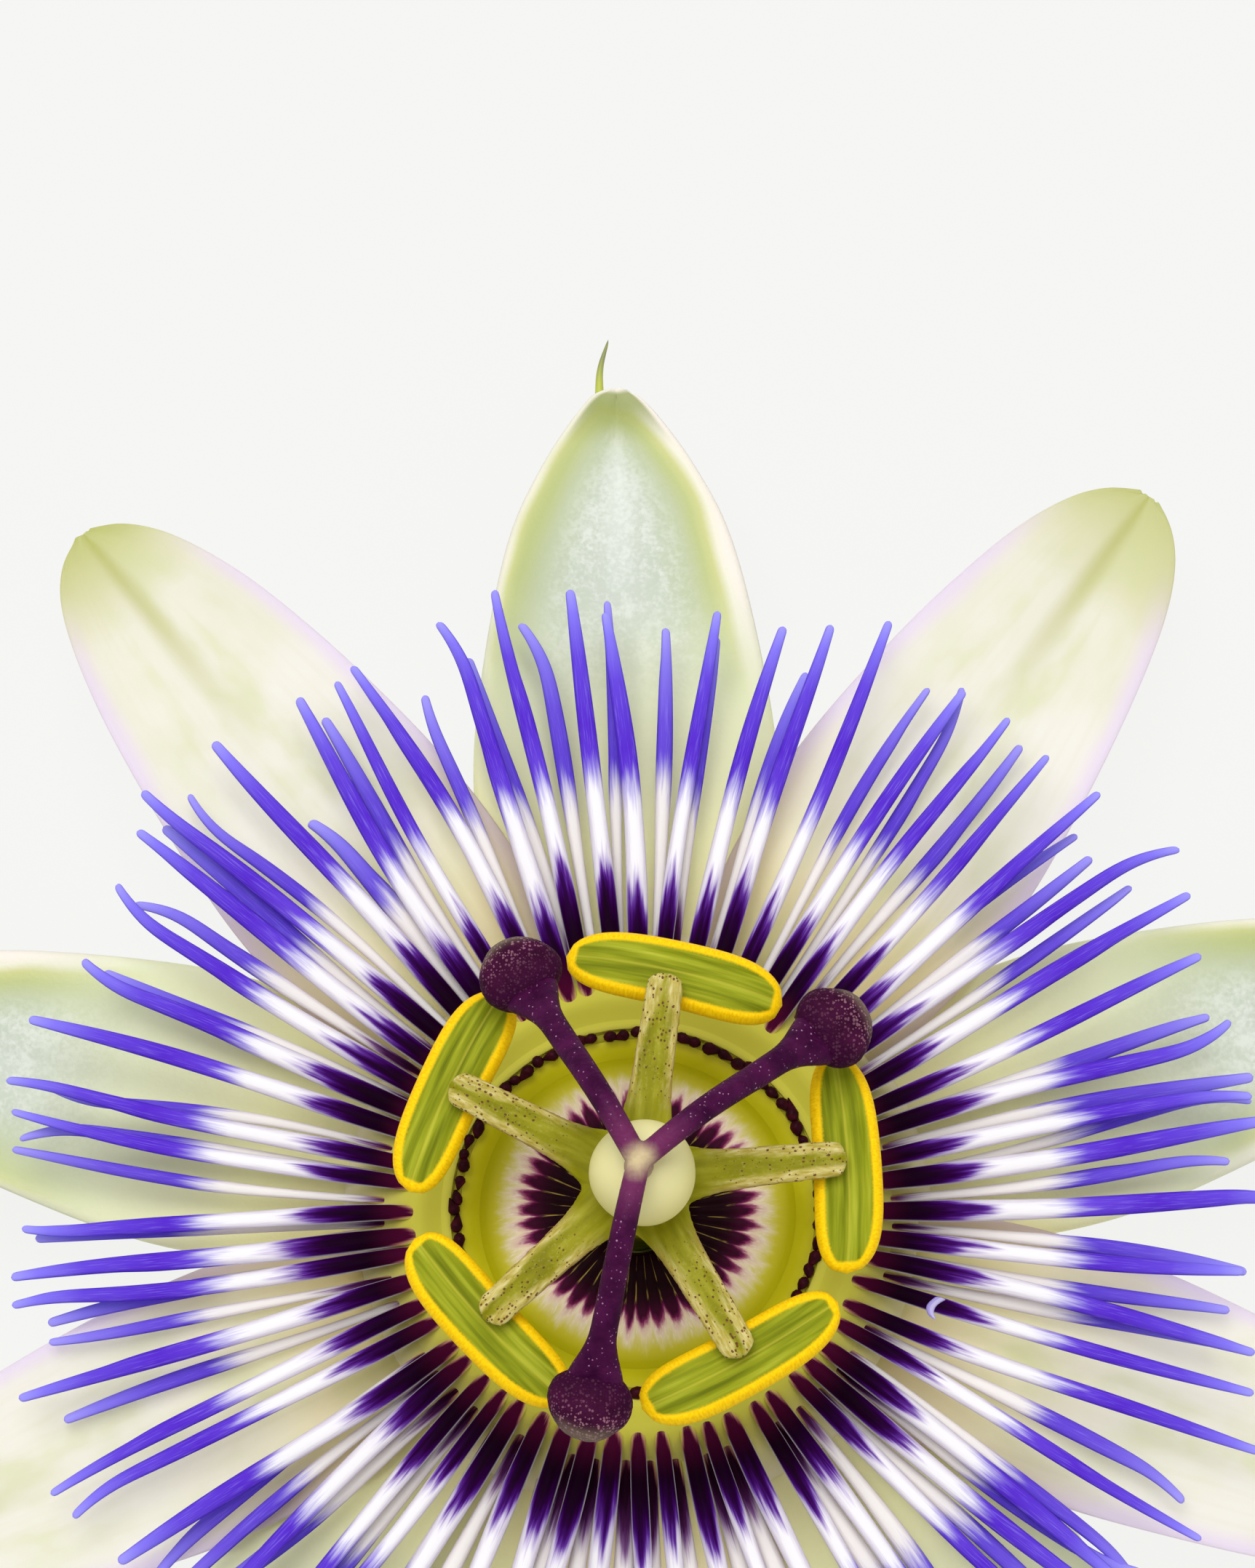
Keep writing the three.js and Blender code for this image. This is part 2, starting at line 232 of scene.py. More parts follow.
def blended(bm, voxel, rounds):  # fuses crossing shells into one skin and softens it
    mesh = bpy.data.meshes.new("soft")
    bm.to_mesh(mesh)
    lump = toScene("soft", mesh)
    remesh = lump.modifiers.new("Remesh", "REMESH")
    remesh.mode = "VOXEL"
    remesh.voxel_size = voxel
    skin = bpy.data.meshes.new_from_object(lump.evaluated_get(bpy.context.evaluated_depsgraph_get()))
    bm.clear()
    bm.from_mesh(skin)
    axes = {"use_axis_x": True, "use_axis_y": True, "use_axis_z": True}
    for _ in range(rounds):
        bmesh.ops.smooth_vert(bm, verts=bm.verts, factor=0.5, **axes)
    bpy.data.objects.remove(lump)
    bpy.data.meshes.remove(mesh)
    bpy.data.meshes.remove(skin)


def blade(rows, columns, shape):  # a grid; shape(share, side) gives a point and the distance to its rim
    bm = bmesh.new()
    bmesh.ops.create_grid(bm, x_segments=rows, y_segments=columns, size=1)
    grain = layer(bm, "grain")
    for v in bm.verts:
        share, side = (v.co.x + 1) / 2, v.co.y
        v.co, rim = shape(share, side)
        v[grain] = (side, rim, v.co.x)
    return bm


# Petal skin: thin waxy tissue that lets light through. Cream, yellow-green at the foot and along the
# midrib near the tip, lilac at the rim, with fine lengthwise veins; painted lighter under the corona and
# painted tan shade over the sepals.
petalSkin, add = newMaterial("petalSkin", 0.55, 0.3, ior=1.4)
grain, across, rim, out = readGrain(add)
middle = add("Math", across, **absolute)
place = add("TexCoord").outputs["Object"]
cloud = add("TexNoise", place, 110, 2)
wander = add("Math", cloud, 7, -3.5, **timesPlus)
reach = add("Math", out, wander, **plus)
lengthShare = add("MapRange", reach, 9, 49, **straight)
# yellow-green at the foot and cream beyond; from the foot to the middle it is painted lighter than its own
# colour, painted light in place of what the corona's filaments shade off
along = add("ValToRGB", lengthShare, {0: "#D2CC4C", 0.09: "#E2D97C", 0.15: "#F9EFCA", 0.3: "#FFFBE8",
    0.45: "#FBF9EE", 0.62: "#F8F6F0", 0.8: "#F4F2E8", 0.92: "#E3E3BA", 1: "#D2D586"})
streaky = add("TexNoise", add("Mapping", grain, Scale=(1.4, 0, 0.11)), 1.5, 3)
greenNoise = add("MapRange", streaky, 0.42, 0.72, 0, 0.65)
nearRib = add("MapRange", middle, 0.8, 0.15, 0.35)
clouded = add("Mix", add("Math", greenNoise, nearRib, **times), along, "#E3E7B8")
veins = add("TexNoise", add("Mapping", grain, Scale=(7, 0, 0.05)), 1.6, 3)
veined = add("Mix", add("MapRange", veins, 0.48, 0.75, 0, 0.12), clouded, "#E2DFBE")
ribWide = add("MapRange", middle, 0.2, 0)
ribOut = add("MapRange", out, 29, 45, 0, 0.55)
ribbed = add("Mix", add("Math", ribWide, ribOut, **times), veined, "#CBCC7C")
rimWander = add("Math", cloud, 2.2, 0.2, **timesPlus)
rimShare = add("MapRange", rim, rimWander, 0.1, 0, 0.8)
notAtTip = add("MapRange", out, 46, 40)
rimmed = add("Mix", add("Math", rimShare, notAtTip, **times), ribbed, "#F3E8FA")
# painted shade: a faint tan darkening low on both sides, where it lies over the sepals and less light comes
# through
lowOut = add("MapRange", reach, 29, 22, 0, 0.4)
atSides = add("MapRange", middle, 0.62, 0.95)
colour = add("Mix", add("Math", lowOut, atSides, **times), rimmed, "#DCCBB4")
finishSkin(petalSkin, colour, veins, 0.25, 0.08, through=0.58)

petal = {"azimuths": [55.6, 128.1, 204.2, 272, 340.1], "widths": [1, 0.99, 0.94, 1, 0.92], "foot": 9.1,
         "reaches": [48.3, 47.9, 48.2, 47.9, 47.9], "thickness": 0.34, "fold": 0.12, "hood": 0.3,
         "ripple": 0.2}


def petalShape(i, share, side):
    reach = petal["reaches"][i]
    outline = [(petal["foot"], 4), (13.5, 5.7), (19, 7), (25, 7.3), (31, 6.8), (37, 5.9),
               (reach - 6.2, 4.75), (reach - 3, 3.5), (reach - 1, 2), (reach - 0.1, 0.5)]
    along = 1 - (1 - share) ** 1.25  # rows crowd towards the tip
    distance, half = curveAt(outline, along)
    half *= petal["widths"][i]
    outwards = (distance - petal["foot"]) / (reach - petal["foot"])
    droop = 3.6 + 0.5 * sin(1.7 * i + 1)
    lift = petal["fold"] * side * side * half * ease(24, 36, distance)
    free = ease(26, 40, distance)
    ripple = petal["ripple"] * free * noise.noise(Vector((distance * 0.16, side * 1.3, i * 7.7)))
    rib = -0.06 * free * exp(-(side / 0.14) ** 2)
    hollow = 1 - side * side * ease(reach, reach - 2.5, distance)
    hood = -petal["hood"] * ease(43, reach, distance) * hollow
    height = petalLevel - droop * outwards * outwards + lift + 2 * side * side * ripple + ripple + rib + hood
    rim = min((1 - abs(side)) * half, reach - distance + 0.3)
    return (distance, side * half, height), rim


for i, azimuth in enumerate(petal["azimuths"]):
    bm = blade(44, 18, partial(petalShape, i))
    finishPiece(f"petal{i + 1}", bm, [f"petal_{i + 1}"], petalSkin, azimuth, 1, petal["thickness"])
print("petals made")

# Sepal skin: thick leathery tissue. Grey-green with a painted grainy whitish sheen inside and a painted
# sheen streak near the tip (painted highlight), a yellow-green band and a whitish rim round it, a foot
# painted lighter under the corona (painted light), and a plain green back with a keel.
sepalSkin, add = newMaterial("sepalSkin", 0.5, 0.35)
grain, across, rim, out = readGrain(add)
coordinates = add("TexCoord")
place = coordinates.outputs["Object"]
cloud = add("TexNoise", place, 120, 2)
wander = add("Math", cloud, 2, -1, **timesPlus)
lopsided = add("Math", across, 0.35, rim, **timesPlus)
rimShare = add("MapRange", add("Math", lopsided, wander, **plus), 0, 6, **straight)
band = add("ValToRGB", rimShare, {0: "#FBF3EA", 0.08: "#F6F2E0", 0.17: "#D6D894", 0.27: "#C6CE8E",
    0.42: "#C5CEA8", 0.7: "#CCD4C4", 1: "#D0D7CC"})
leftOut = add("MapRange", out, 29, 36, 0, 0.4)
leftSide = add("MapRange", across, 0.55, 0.85)
offRim = add("MapRange", rim, 0.3, 1)
banded = add("Mix", add("Math", add("Math", leftSide, leftOut, **times), offRim, **times), band, "#B8C382")
# painted highlight: a fine grainy whitish sheen over the inside of the sepal
fine = add("TexNoise", place, 4200, 3)
sheenStreaks = add("TexNoise", add("Mapping", grain, Scale=(9, 0, 1.1)), 1, 4, Distortion=0.5)
coarse = add("TexNoise", place, 160, 2)
sheenGrit = add("Math", fine, sheenStreaks, **plus)
paintedSheenShare = add("MapRange", add("Math", coarse, 0.5, sheenGrit, **timesPlus), 1, 1.55, 0, 0.55)
inside = add("MapRange", rim, 1.8, 4.5)
withPaintedSheen = add("Mix", add("Math", paintedSheenShare, inside, **times), banded, "#FAFCF8")
middle = add("Math", across, **absolute)
# painted highlight: a pale sheen streak down the middle towards the tip
sheenStreakWide = add("MapRange", add("Math", sheenStreaks, 0.5, middle, **timesPlus), 0.5, 0.22)
sheenStreakIn = add("MapRange", out, 44.9, 42.8)
sheenStreakOut = add("MapRange", out, 32, 41, 0, 0.42)
sheenStreakHere = add("Math", sheenStreakIn, sheenStreakOut, **times)
sheenStreaked = add("Mix", add("Math", sheenStreakWide, sheenStreakHere, **times), withPaintedSheen, "#F6F8F4")
# the yellow-green foot, painted lighter than its own colour under the corona: painted light in place of the
# light the filaments shade off
footShare = add("MapRange", out, 35.5, 26, 0, 0.94)
footRamp = add("ValToRGB", add("MapRange", out, 11, 33, **straight),
    {0: "#D2CC4C", 0.08: "#E2D97C", 0.2: "#F9F2B6", 0.4: "#FEFCC4", 0.75: "#F6FACA", 1: "#E2EAC2"})
footed = add("Mix", footShare, sheenStreaked, footRamp)
tipOut = add("MapRange", out, 42.2, 45.3, 0, 0.85)
notRim = add("MapRange", rim, 0.12, 0.45)
tipped = add("Mix", add("Math", tipOut, notRim, **times), footed, "#98A256")
upwards = add("SeparateXYZ", coordinates.outputs["Normal"])
face = add("MapRange", upwards.outputs[2], -0.15, 0.15)
backVeins = add("TexNoise", add("Mapping", grain, Scale=(9, 0, 0.06)), 1.4, 3)
back = add("ValToRGB", backVeins, {0.3: "#7E9A4C", 0.55: "#93AC5E", 0.75: "#A9BE78"})
backEdged = add("Mix", add("MapRange", rim, 1.3, 0.2), back, "#E4E8C4")
colour = add("Mix", face, backEdged, tipped)
roughness = add("MapRange", fine, 0.3, 0.7, 0.38, 0.6, **straight)
finishSkin(sepalSkin, colour, fine, 0.35, 0.08, roughness, through=0.2)

# Awn skin: fresh green, greying towards the point
awnSkin, add = newMaterial("awnSkin", 0.5, ior=1.5)
out = readGrain(add)[3]
outShare = add("MapRange", out, 40, 48, **straight)
streak = add("TexNoise", add("TexCoord").outputs["Object"], 1800)
tint = add("ValToRGB", outShare, {0: "#A9C060", 0.6: "#CED84A", 0.85: "#B2B84A", 1: "#888A56"})
shaded = add("Mix", streak, tint, "#8A9A3A")
faded = add("Mix", 0.35, tint, shaded)
finishSkin(awnSkin, faded)

sepal = {"azimuths": [91.5, 165.3, 235, 308, 17.8], "widths": [1, 0.93, 1, 1, 0.92], "foot": 9.1,
         "reach": 46.2, "thickness": 0.75, "fold": 0.09}
awn = {"start": 39.8, "reach": 49.3, "radius": 0.5}


def sepalRise(i, distance):
    outwards = (distance - sepal["foot"]) / (sepal["reach"] - sepal["foot"])
    return sepalLevel - (4.2 + 0.5 * sin(2.1 * i)) * outwards * outwards


def sepalShape(i, share, side):
    reach = sepal["reach"]
    outline = [(sepal["foot"], 4.6), (14, 6.4), (19.5, 7.7), (25, 8), (31.5, 7.15), (37.4, 5.85),
               (41.2, 4.2), (44, 2.55), (45.6, 1.4), (reach, 0.45)]
    along = 1 - (1 - share) ** 1.3
    distance, half = curveAt(outline, along)
    half *= sepal["widths"][i]
    lift = sepal["fold"] * side * side * half * ease(26, 36, distance)
    free = ease(28, 40, distance)
    ripple = 0.2 * free * noise.noise(Vector((distance * 0.14, side * 1.6, 40 + i * 5.3)))
    crease = -0.14 * ease(20, 34, distance) * exp(-(side / 0.16) ** 2)
    hood = -0.35 * ease(40, reach, distance) * (1 - side * side * ease(reach, 43.5, distance))
    rim = min((1 - abs(side)) * half, 0.75 * (reach - distance) + 0.1)
    return (distance, side * half, sepalRise(i, distance) + lift + ripple + crease + hood), rim


def awnShape(i, share, side, up):
    distance = awn["start"] + (awn["reach"] - awn["start"]) * share
    sway = 0.85 * cos(2.2 * i) * (1 - 0.75 * ease(0.7, 1.02, share) ** 1.8)
    radius = awn["radius"] * (1 - share) ** 0.6 * ease(-0.25, 0.12, share)
    sunk = -0.62 + 0.25 * ease(0.7, 1, share)
    height = sepalRise(i, min(distance, sepal["reach"])) + sunk
    return (distance, sway + side * radius, height + up * radius), (side, up, distance)


for i, azimuth in enumerate(sepal["azimuths"]):
    bm = blade(40, 18, partial(sepalShape, i))
    finishPiece(f"sepal{i + 1}", bm, [f"sepal_{i + 1}"], sepalSkin, azimuth, 1, sepal["thickness"])
    bm = rod(14, 8)
    shapeRod(bm, bm.verts, partial(awnShape, i))
    finishPiece(f"sepalAwn{i + 1}", bm, [f"sepal_{i + 1}"], awnSkin, azimuth, 1)
print("sepals made")


# Corona filament skin: smooth, waxy and banded. Dark purple near the foot with a ragged outer end, then
# white, then violet-blue, streaked lengthwise and paler at the tip.
def filamentSkin(name, white, shade, teeth, start, blues, purples):
    material, add = newMaterial(name, 0.45, 0.02)
    grain, across, toTip, out = readGrain(add)
    purpleTo, blueFrom, chance = readGrain(add, "zones")[1:]
    side = add("Math", across, **absolute)
    sideSquare = add("Math", side, 2, operation="POWER")
    own = add("Math", chance, 40, **times)
    streak = add("TexNoise", add("Mapping", grain, Scale=(2.1, 0, 0.3)), own, 1, 2, noise_dimensions="4D")
    fine = add("TexNoise", add("Mapping", grain, Scale=(8, 0, 0.7)), own, 1, 3, noise_dimensions="4D")
    ragged = add("Math", streak, -0.5, **plus)

    def frayed(curve, toothed, fringed):  # the distance out, uneven across the filament
        curved = add("Math", sideSquare, curve, out, **timesPlus)
        rough = add("Math", ragged, toothed, curved, **timesPlus)
        return add("Math", fine, fringed, rough, **timesPlus)

    # painted shade: the white turns lilac-grey towards the sides of each filament
    edges = add("MapRange", add("Math", fine, 0.7, side, **timesPlus), 0.62, 1.35, 0, 0.8)
    pale = add("Mix", edges, white, shade)
    # the blue starts in short teeth and reaches a little further in along the edges
    blueShare = add("MapRange", add("Math", frayed(0.8, 3.2, 1.8), blueFrom, **minus), 0, 2.5)
    blue = add("ValToRGB", add("MapRange", toTip, 0, 12, **straight), blues)
    streaked = add("Mix", add("MapRange", fine, 0.48, 0.8, 0, 0.6), blue, "#9884F6")
    rimmed = add("Mix", add("MapRange", side, 0.7, 1, 0, 0.5), streaked, "#4626BC")
    twoBands = add("Mix", blueShare, pale, rimmed)
    # the purple ends in a few teeth, earlier along the edges, inside a thin pale margin
    purpleOut = add("Math", frayed(1.9, teeth, 1.2), purpleTo, **minus)
    purple = add("ValToRGB", add("MapRange", purpleOut, -3, 2.2, **straight), purples)
    margin = add("MapRange", side, 0.98, 0.8)
    purpleEnd = add("MapRange", purpleOut, 2.5, 0.6)
    purpleHere = add("Math", purpleEnd, margin, **times)
    core = add("Mix", add("MapRange", out, 11.6, 14.2), "#4E0A30", purple)
    cored = add("Mix", purpleHere, twoBands, core)
    # foot: the purple starts in a point, with a short magenta fade into the yellow-green tissue
    footFine = frayed(-1.7, 1.8, 0.6)
    footColour = add("ValToRGB", add("MapRange", footFine, start - 0.8, start + 0.9, **straight),
        {0: "#DAD44C", 0.3: "#D8CC62", 0.62: "#BC8472", 1: "#7A1A50"})
    footed = add("Mix", add("MapRange", footFine, start + 1, start), cored, footColour)
    tissue = add("ValToRGB", add("MapRange", out, 9.5, 15, **straight),
        {0: "#E0DA56", 0.16: "#DDD84E", 0.4: "#D6D052", 0.65: "#E2D97A", 1: "#F6EEC6"})
    colour = add("Mix", add("Math", purpleTo, 5, operation="GREATER_THAN"), tissue, footed)
    finishSkin(material, colour, fine, 0.3, 0.06, through=0.18)
    return material


outerSkin = filamentSkin(
    "outerFilamentSkin", "#FBF9FD", "#D4CADE", 4.2, 11,
    {0: "#A6A0FF", 0.1: "#8A7CF6", 0.3: "#6A4AE0", 0.6: "#5C30D2", 1: "#7450E4"},
    {0: "#160014", 0.25: "#1C0020", 0.45: "#2A003A", 0.6: "#3E0C64", 0.78: "#6E38AC", 1: "#B08CE4"})
secondSkin = filamentSkin(
    "secondFilamentSkin", "#FAF6F4", "#E0D6DA", 2.4, 12.6,
    {0: "#AAA2FA", 0.15: "#8E80F0", 0.4: "#7256E0", 0.7: "#6646D8", 1: "#7E66E4"},
    {0: "#1A0210", 0.35: "#2A0624", 0.6: "#4C1C50", 0.8: "#8E649E", 1: "#C4B0D0"})

outerRow = {"name": "coronaOuter", "node": "corona_outer", "count": 60, "foot": 10.9, "reach": 33.9,
            "flat": 0.6, "sag": 0.3, "seed": 0, "purple": (16.4, 18.1), "blue": (21.7, 22.9),
            "ring": (9.5, 12.9), "hem": 1.15,
            "widths": (0.86, 1.02, 1.14, 1.14, 1.06, 1.02, 1.04, 1, 0.9, 0.76, 0.56)}
secondRow = {"name": "coronaSecond", "node": "corona_second", "count": 52, "foot": 10.8, "reach": 32.6,
             "flat": 0.6, "sag": 0.5, "seed": 2, "purple": (12, 16), "blue": (21.6, 23.2),
             "ring": (10.6, 14.9), "hem": 1.75, "short": {18: 26.6},
             "widths": (0.42, 0.46, 0.5, 0.56, 0.66, 0.8, 0.92, 0.92, 0.84, 0.72, 0.54)}
spur = {"azimuth": -17, "distance": 16.1, "radius": 0.3, "drop": 1.15, "zones": (6, 16.9, 0.3)}
# the upper filaments stand at even steps; the fewer below them in the gaps, with a gap empty here and there
upper, lower = outerRow["count"], secondRow["count"]
gaps = [(round(i * upper / lower) + 0.5) % upper for i in range(lower)]


def filamentShape(row, draw, share, side, up):
    out = 1 - (1 - share) ** 1.5  # rings crowd towards the round tip
    centre = side == 0 and up == 0
    reach, foot = draw["reach"], row["foot"]
    distance = foot + (reach - foot) * out
    half = 0.5 * draw["width"] * curveAt([(w,) for w in row["widths"]], out)[0]
    notch = 1 - 0.2 * ease(draw["notch"], draw["notch"] + 0.02, out) * (side * draw["notchSide"] > 0)
    if share == 0 and centre:
        half = 0
    thick = row["flat"] * half * (0.5 + 0.5 * ease(11, 12.8, distance))
    sway = draw["bend"] * out * out + draw["wave"] * sin(5.2 * out + draw["phase"]) * out
    sway += draw["tipBend"] * max(0, out - 0.84) ** 2 * 40
    sunk = 0.34 * (1 - ease(10.4, 12.2, distance))  # the feet melt into the ring
    height = row["level"] - row["sag"] * out * out + draw["lift"] * out - sunk
    roll = draw["roll"] * out
    across = side * half * notch * cos(roll) - up * thick * sin(roll)
    rise = side * half * sin(roll) + up * thick * cos(roll)
    tip = 0.2 if centre and share > 0.5 else 0
    return (distance + tip, sway + across, height + rise), (side, (reach - distance), distance)


def spurShape(level, share, side, up):
    radius = spur["radius"] * (1 - 0.35 * share) * ease(-0.1, 0.1, 1 - share)
    if side == 0 and up == 0:
        radius = 0
    distance = spur["distance"] - 0.5 * sin(2 * share) + 0.4 * share ** 3 - side * radius
    spot = (distance, 0.1 - spur["drop"] * share, level + 0.3 + up * 0.6 * radius)
    return spot, (0.3 * side, 20 + share, 17.2)


def coronaRow(row, skin):
    level = row["level"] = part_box(row["node"])[1].z / mm - 0.43
    inner, outer = row["ring"]
    hem = -row["hem"]  # the outer edge dips into what lies below it
    top = discTop - level
    bm = spun(2 * row["count"], [(inner, -0.4), (outer - 1.4, -0.8), (outer + 0.4, hem - 0.15),
        (outer + 0.4, hem), (outer - 0.7, -0.42), (outer - 1.4, -0.02), (outer - 1.9, 0.06),
        (inner + 0.8, top + 0.2), (inner + 0.3, top + 0.1), (inner, top - 0.04), (inner + 0.1, -0.4),
        (inner, -0.4)], level)
    grain = layer(bm, "grain")
    zones = layer(bm, "zones")
    for v in bm.verts:
        v[grain] = (0, 20, v.co.xy.length)
        v[zones] = (0, 99, 0.5)
    template = toMesh(rod(17, 8), "filament")

    def grow(shape, marks, angle):
        fresh = addCopy(bm, template)
        shapeRod(bm, fresh, shape)
        for v in fresh:
            v[zones] = marks
        turnAll(bm, fresh, angle)

    for i in range(row["count"]):
        step = i if row is outerRow else gaps[i]
        wander = 0.45 * sin(2.3 * i + row["seed"]) + rng.uniform(-0.6, 0.6)
        azimuth = radians(360 / upper * step + wander)
        draw = {
            "reach": row["reach"] - 1.9 * sin(3.7 * i + row["seed"]) ** 2 - rng.uniform(0, 1.2),
            "bend": 1.1 * sin(1.7 * i + 0.5) + rng.uniform(-0.9, 0.9),
            "wave": rng.uniform(0.05, 0.3), "phase": rng.uniform(0, 6.3),
            "tipBend": rng.choice((0, 0, 0, 1, -1)) * rng.uniform(0.3, 1),
            "lift": rng.uniform(-0.1, 0.5), "roll": rng.uniform(-0.35, 0.35),
            "width": rng.uniform(0.86, 1.12), "notch": rng.uniform(0.55, 1.4),
            "notchSide": rng.choice((-1, 1)),
        }
        marks = [rng.uniform(*row["purple"]), rng.uniform(*row["blue"]), rng.random()]
        if row is secondRow:  # towards one side they grow as stout and purple as the row above
            stout = max(0, cos(azimuth - radians(272))) ** 4
            draw["width"] *= 1 + 0.7 * stout
            draw["lift"] += 0.5 * stout
            marks[0] += (17 - marks[0]) * stout
        if i in row.get("short", {}):  # a stunted one, bent at its tip and violet nearly to the middle
            draw.update(reach=row["short"][i], bend=0.1, tipBend=0.4, lift=0.7, width=1.35)
            marks[1] = 20.4
        grow(partial(filamentShape, row, draw), marks, azimuth)
    if row is outerRow:  # a little lilac hook on the side of one filament
        grow(partial(spurShape, level), spur["zones"], radians(spur["azimuth"]))
    bpy.data.meshes.remove(template)
    finishPiece(row["name"], bm, [row["node"]], skin, 0, 1)


coronaRow(secondRow, secondSkin)
coronaRow(outerRow, outerSkin)
print("corona rows made")

# Bead skin: dark maroon, smooth and a little glossy, on pale stalks
beadSkin, add = newMaterial("beadSkin", 0.4, 0.08, ior=1.45)
inHead = readGrain(add)[3]
mottle = add("TexNoise", add("TexCoord").outputs["Object"], 2500)
maroon = add("ValToRGB", mottle, {0.35: "#26030E", 0.6: "#380615", 0.8: "#521024"})
colour = add("Mix", add("MapRange", inHead, 0.35, 0.1), maroon, "#A9A22C")
finishSkin(beadSkin, colour)

beads = {"count": 76, "radius": 9.3, "long": 0.36, "wide": 0.32, "high": 0.28}
ring = beads["radius"]
bm = spun(96, [(ring - 0.3, -0.1), (ring + 0.3, -0.1), (ring + 0.15, 0.04), (ring - 0.15, 0.04),
    (ring - 0.3, -0.1)], discTop)
grain = layer(bm, "grain")
for i in range(beads["count"]):
    head = bmesh.ops.create_uvsphere(bm, u_segments=10, v_segments=8, radius=1)["verts"]
    size = rng.uniform(0.84, 1.12)
    long = beads["long"] * rng.choice((0.85, 0.95, 1.05, 1.2))
    drop = rng.choice((0, 0.4, -0.4, 1.1, -1.1))  # some heads end in a thin tail
    for v in head:
        tail = max(0, v.co.x * copysign(1, drop)) ** 3 * abs(drop)
        thin = 1 - 0.75 * min(1, tail)
        v.co = Vector((v.co.x * long * size * (1 + tail), v.co.y * beads["wide"] * size * thin,
                       v.co.z * beads["high"] * size * thin + 0.3))
        v[grain] = (0, 0, 1)
    turnAll(bm, head, pi / 2 + rng.uniform(-0.4, 0.4))
    stalk = bmesh.ops.create_cone(bm, cap_ends=True, segments=6, radius1=0.12, radius2=0.1, depth=0.4,
                                  matrix=Matrix.Translation((0, 0, 0.12)))["verts"]
    both = head + stalk
    bmesh.ops.translate(bm, vec=(ring + rng.uniform(-0.1, 0.1), 0, discTop), verts=both)
    turnAll(bm, both, tau * (i + rng.uniform(-0.16, 0.16)) / beads["count"])
finishPiece("coronaInner", bm, ["corona_inner"], beadSkin)

# Cup skin: fleshy and smooth. Yellow-green, olive in the furrow, dark round the column, ribbed outside.
cupSkin, add = newMaterial("cupSkin", 0.5, 0.06)
centred, _, radius = readAxis(add)
soft = add("TexNoise", centred, 400, 3)
wobble = add("Math", soft, 0.0008, radius, **timesPlus)
discShare = add("MapRange", wobble, 0.0004, 0.0124, **straight)
discColour = add("ValToRGB", discShare, {0.22: "#2A0618", 0.3: "#7A7410", 0.55: "#CABD68", 0.6: "#B8AF2C",
    0.66: "#AEA708", 0.7: "#BAB30A", 0.74: "#CBC426", 0.79: "#DED850", 0.9: "#E4DE5A", 1: "#E4DE5A"})
height = add("SeparateXYZ", centred).outputs[2]
outside = add("MapRange", height, 0.0114, 0.0107, **straight)
outer = add("ValToRGB", soft, {0.35: "#9DAA4C", 0.65: "#B8C270"})
colour = add("Mix", outside, discColour, outer)
finishSkin(cupSkin, colour, soft, 0.15, 0.1)

cup = {"ribs": 10, "depth": 0.012}
foot = cupLow.z / mm - discTop
bm = spun(120, [(0, foot), (1.4, foot), (2.4, foot + 0.15), (4.9, foot + 0.8), (7.3, foot + 2.3),
    (8.5, foot + 3.9), (8.8, foot + 5.3), (8.8, -0.7), (10, -0.68), (10.25, -0.4), (10.1, -0.06), (9.6, 0),
    (9.1, -0.02), (8.7, -0.12), (8.2, -0.22), (7.7, -0.16), (7.3, -0.06), (6.9, 0), (6.6, -0.1),
    (6.1, -0.7), (5.6, -2.6), (5, -2.9), (2.8, -2.9), (2.45, -2.5), (2.3, -0.5), (2.1, -0.3), (1.95, -0.5),
    (1.9, -3.1), (0, -3.1)], discTop)
for v in bm.verts:
    out = v.co.xy.length
    if v.co.z < discTop - 1 and out > 6.5:  # soft ribs down the bowl
        v.co.xy *= 1 + cup["depth"] * cos(cup["ribs"] * atan2(v.co.y, v.co.x))
finishPiece("floralCup", bm, ["floral_cup"], cupSkin, 0, 1)
print("cup and beads made")

# Operculum skin: a frilled membrane. Dark purple threads side by side, thin yellow-green lines between
# them, and a ragged pinkish-white fringe at the crest.
operculum = {"threads": 46, "ridge": 0.05}
operculumSkin, add = newMaterial("operculumSkin", 0.55, 0.08, ior=1.4)
centred, flat, length = readAxis(add)
spread = add("SeparateXYZ", centred)
angle = add("Math", spread.outputs[1], spread.outputs[0], operation="ARCTAN2")
radius = add("Math", length, 1000, **times)
around = add("VectorMath", flat, operation="NORMALIZE")
aroundWide = add("VectorMath", around, 9, operation="SCALE")
lifted = add("CombineXYZ", Z=add("Math", radius, 0.4, **times))
streakPlace = add("VectorMath", aroundWide, lifted, **plus)
streak = add("TexNoise", streakPlace, 2.4, 3)
broad = add("TexNoise", streakPlace, 0.35, 2)
turns = add("Math", angle, operculum["threads"] / tau, broad, **timesPlus)
saw = add("Math", turns, operation="FRACT")
# 0 in the middle of a thread, 0.5 between two
fromMiddle = add("Math", add("Math", saw, -0.5, **plus), **absolute)
gapFrom = add("MapRange", radius, 3, 5.6, 0.48, 0.41, **straight)
lineShare = add("MapRange", add("Math", fromMiddle, gapFrom, **minus), -0.03, 0.04)
lineSome = add("MapRange", streak, 0.42, 0.58, 0, 0.9)
line = add("Math", lineShare, lineSome, **times)
dark = add("ValToRGB", add("MapRange", radius, 4.2, 5.3, **straight),
    {0: "#1C040C", 0.5: "#2A0618", 1: "#3E0A28"})
thread = add("Mix", line, dark, "#AC9448")
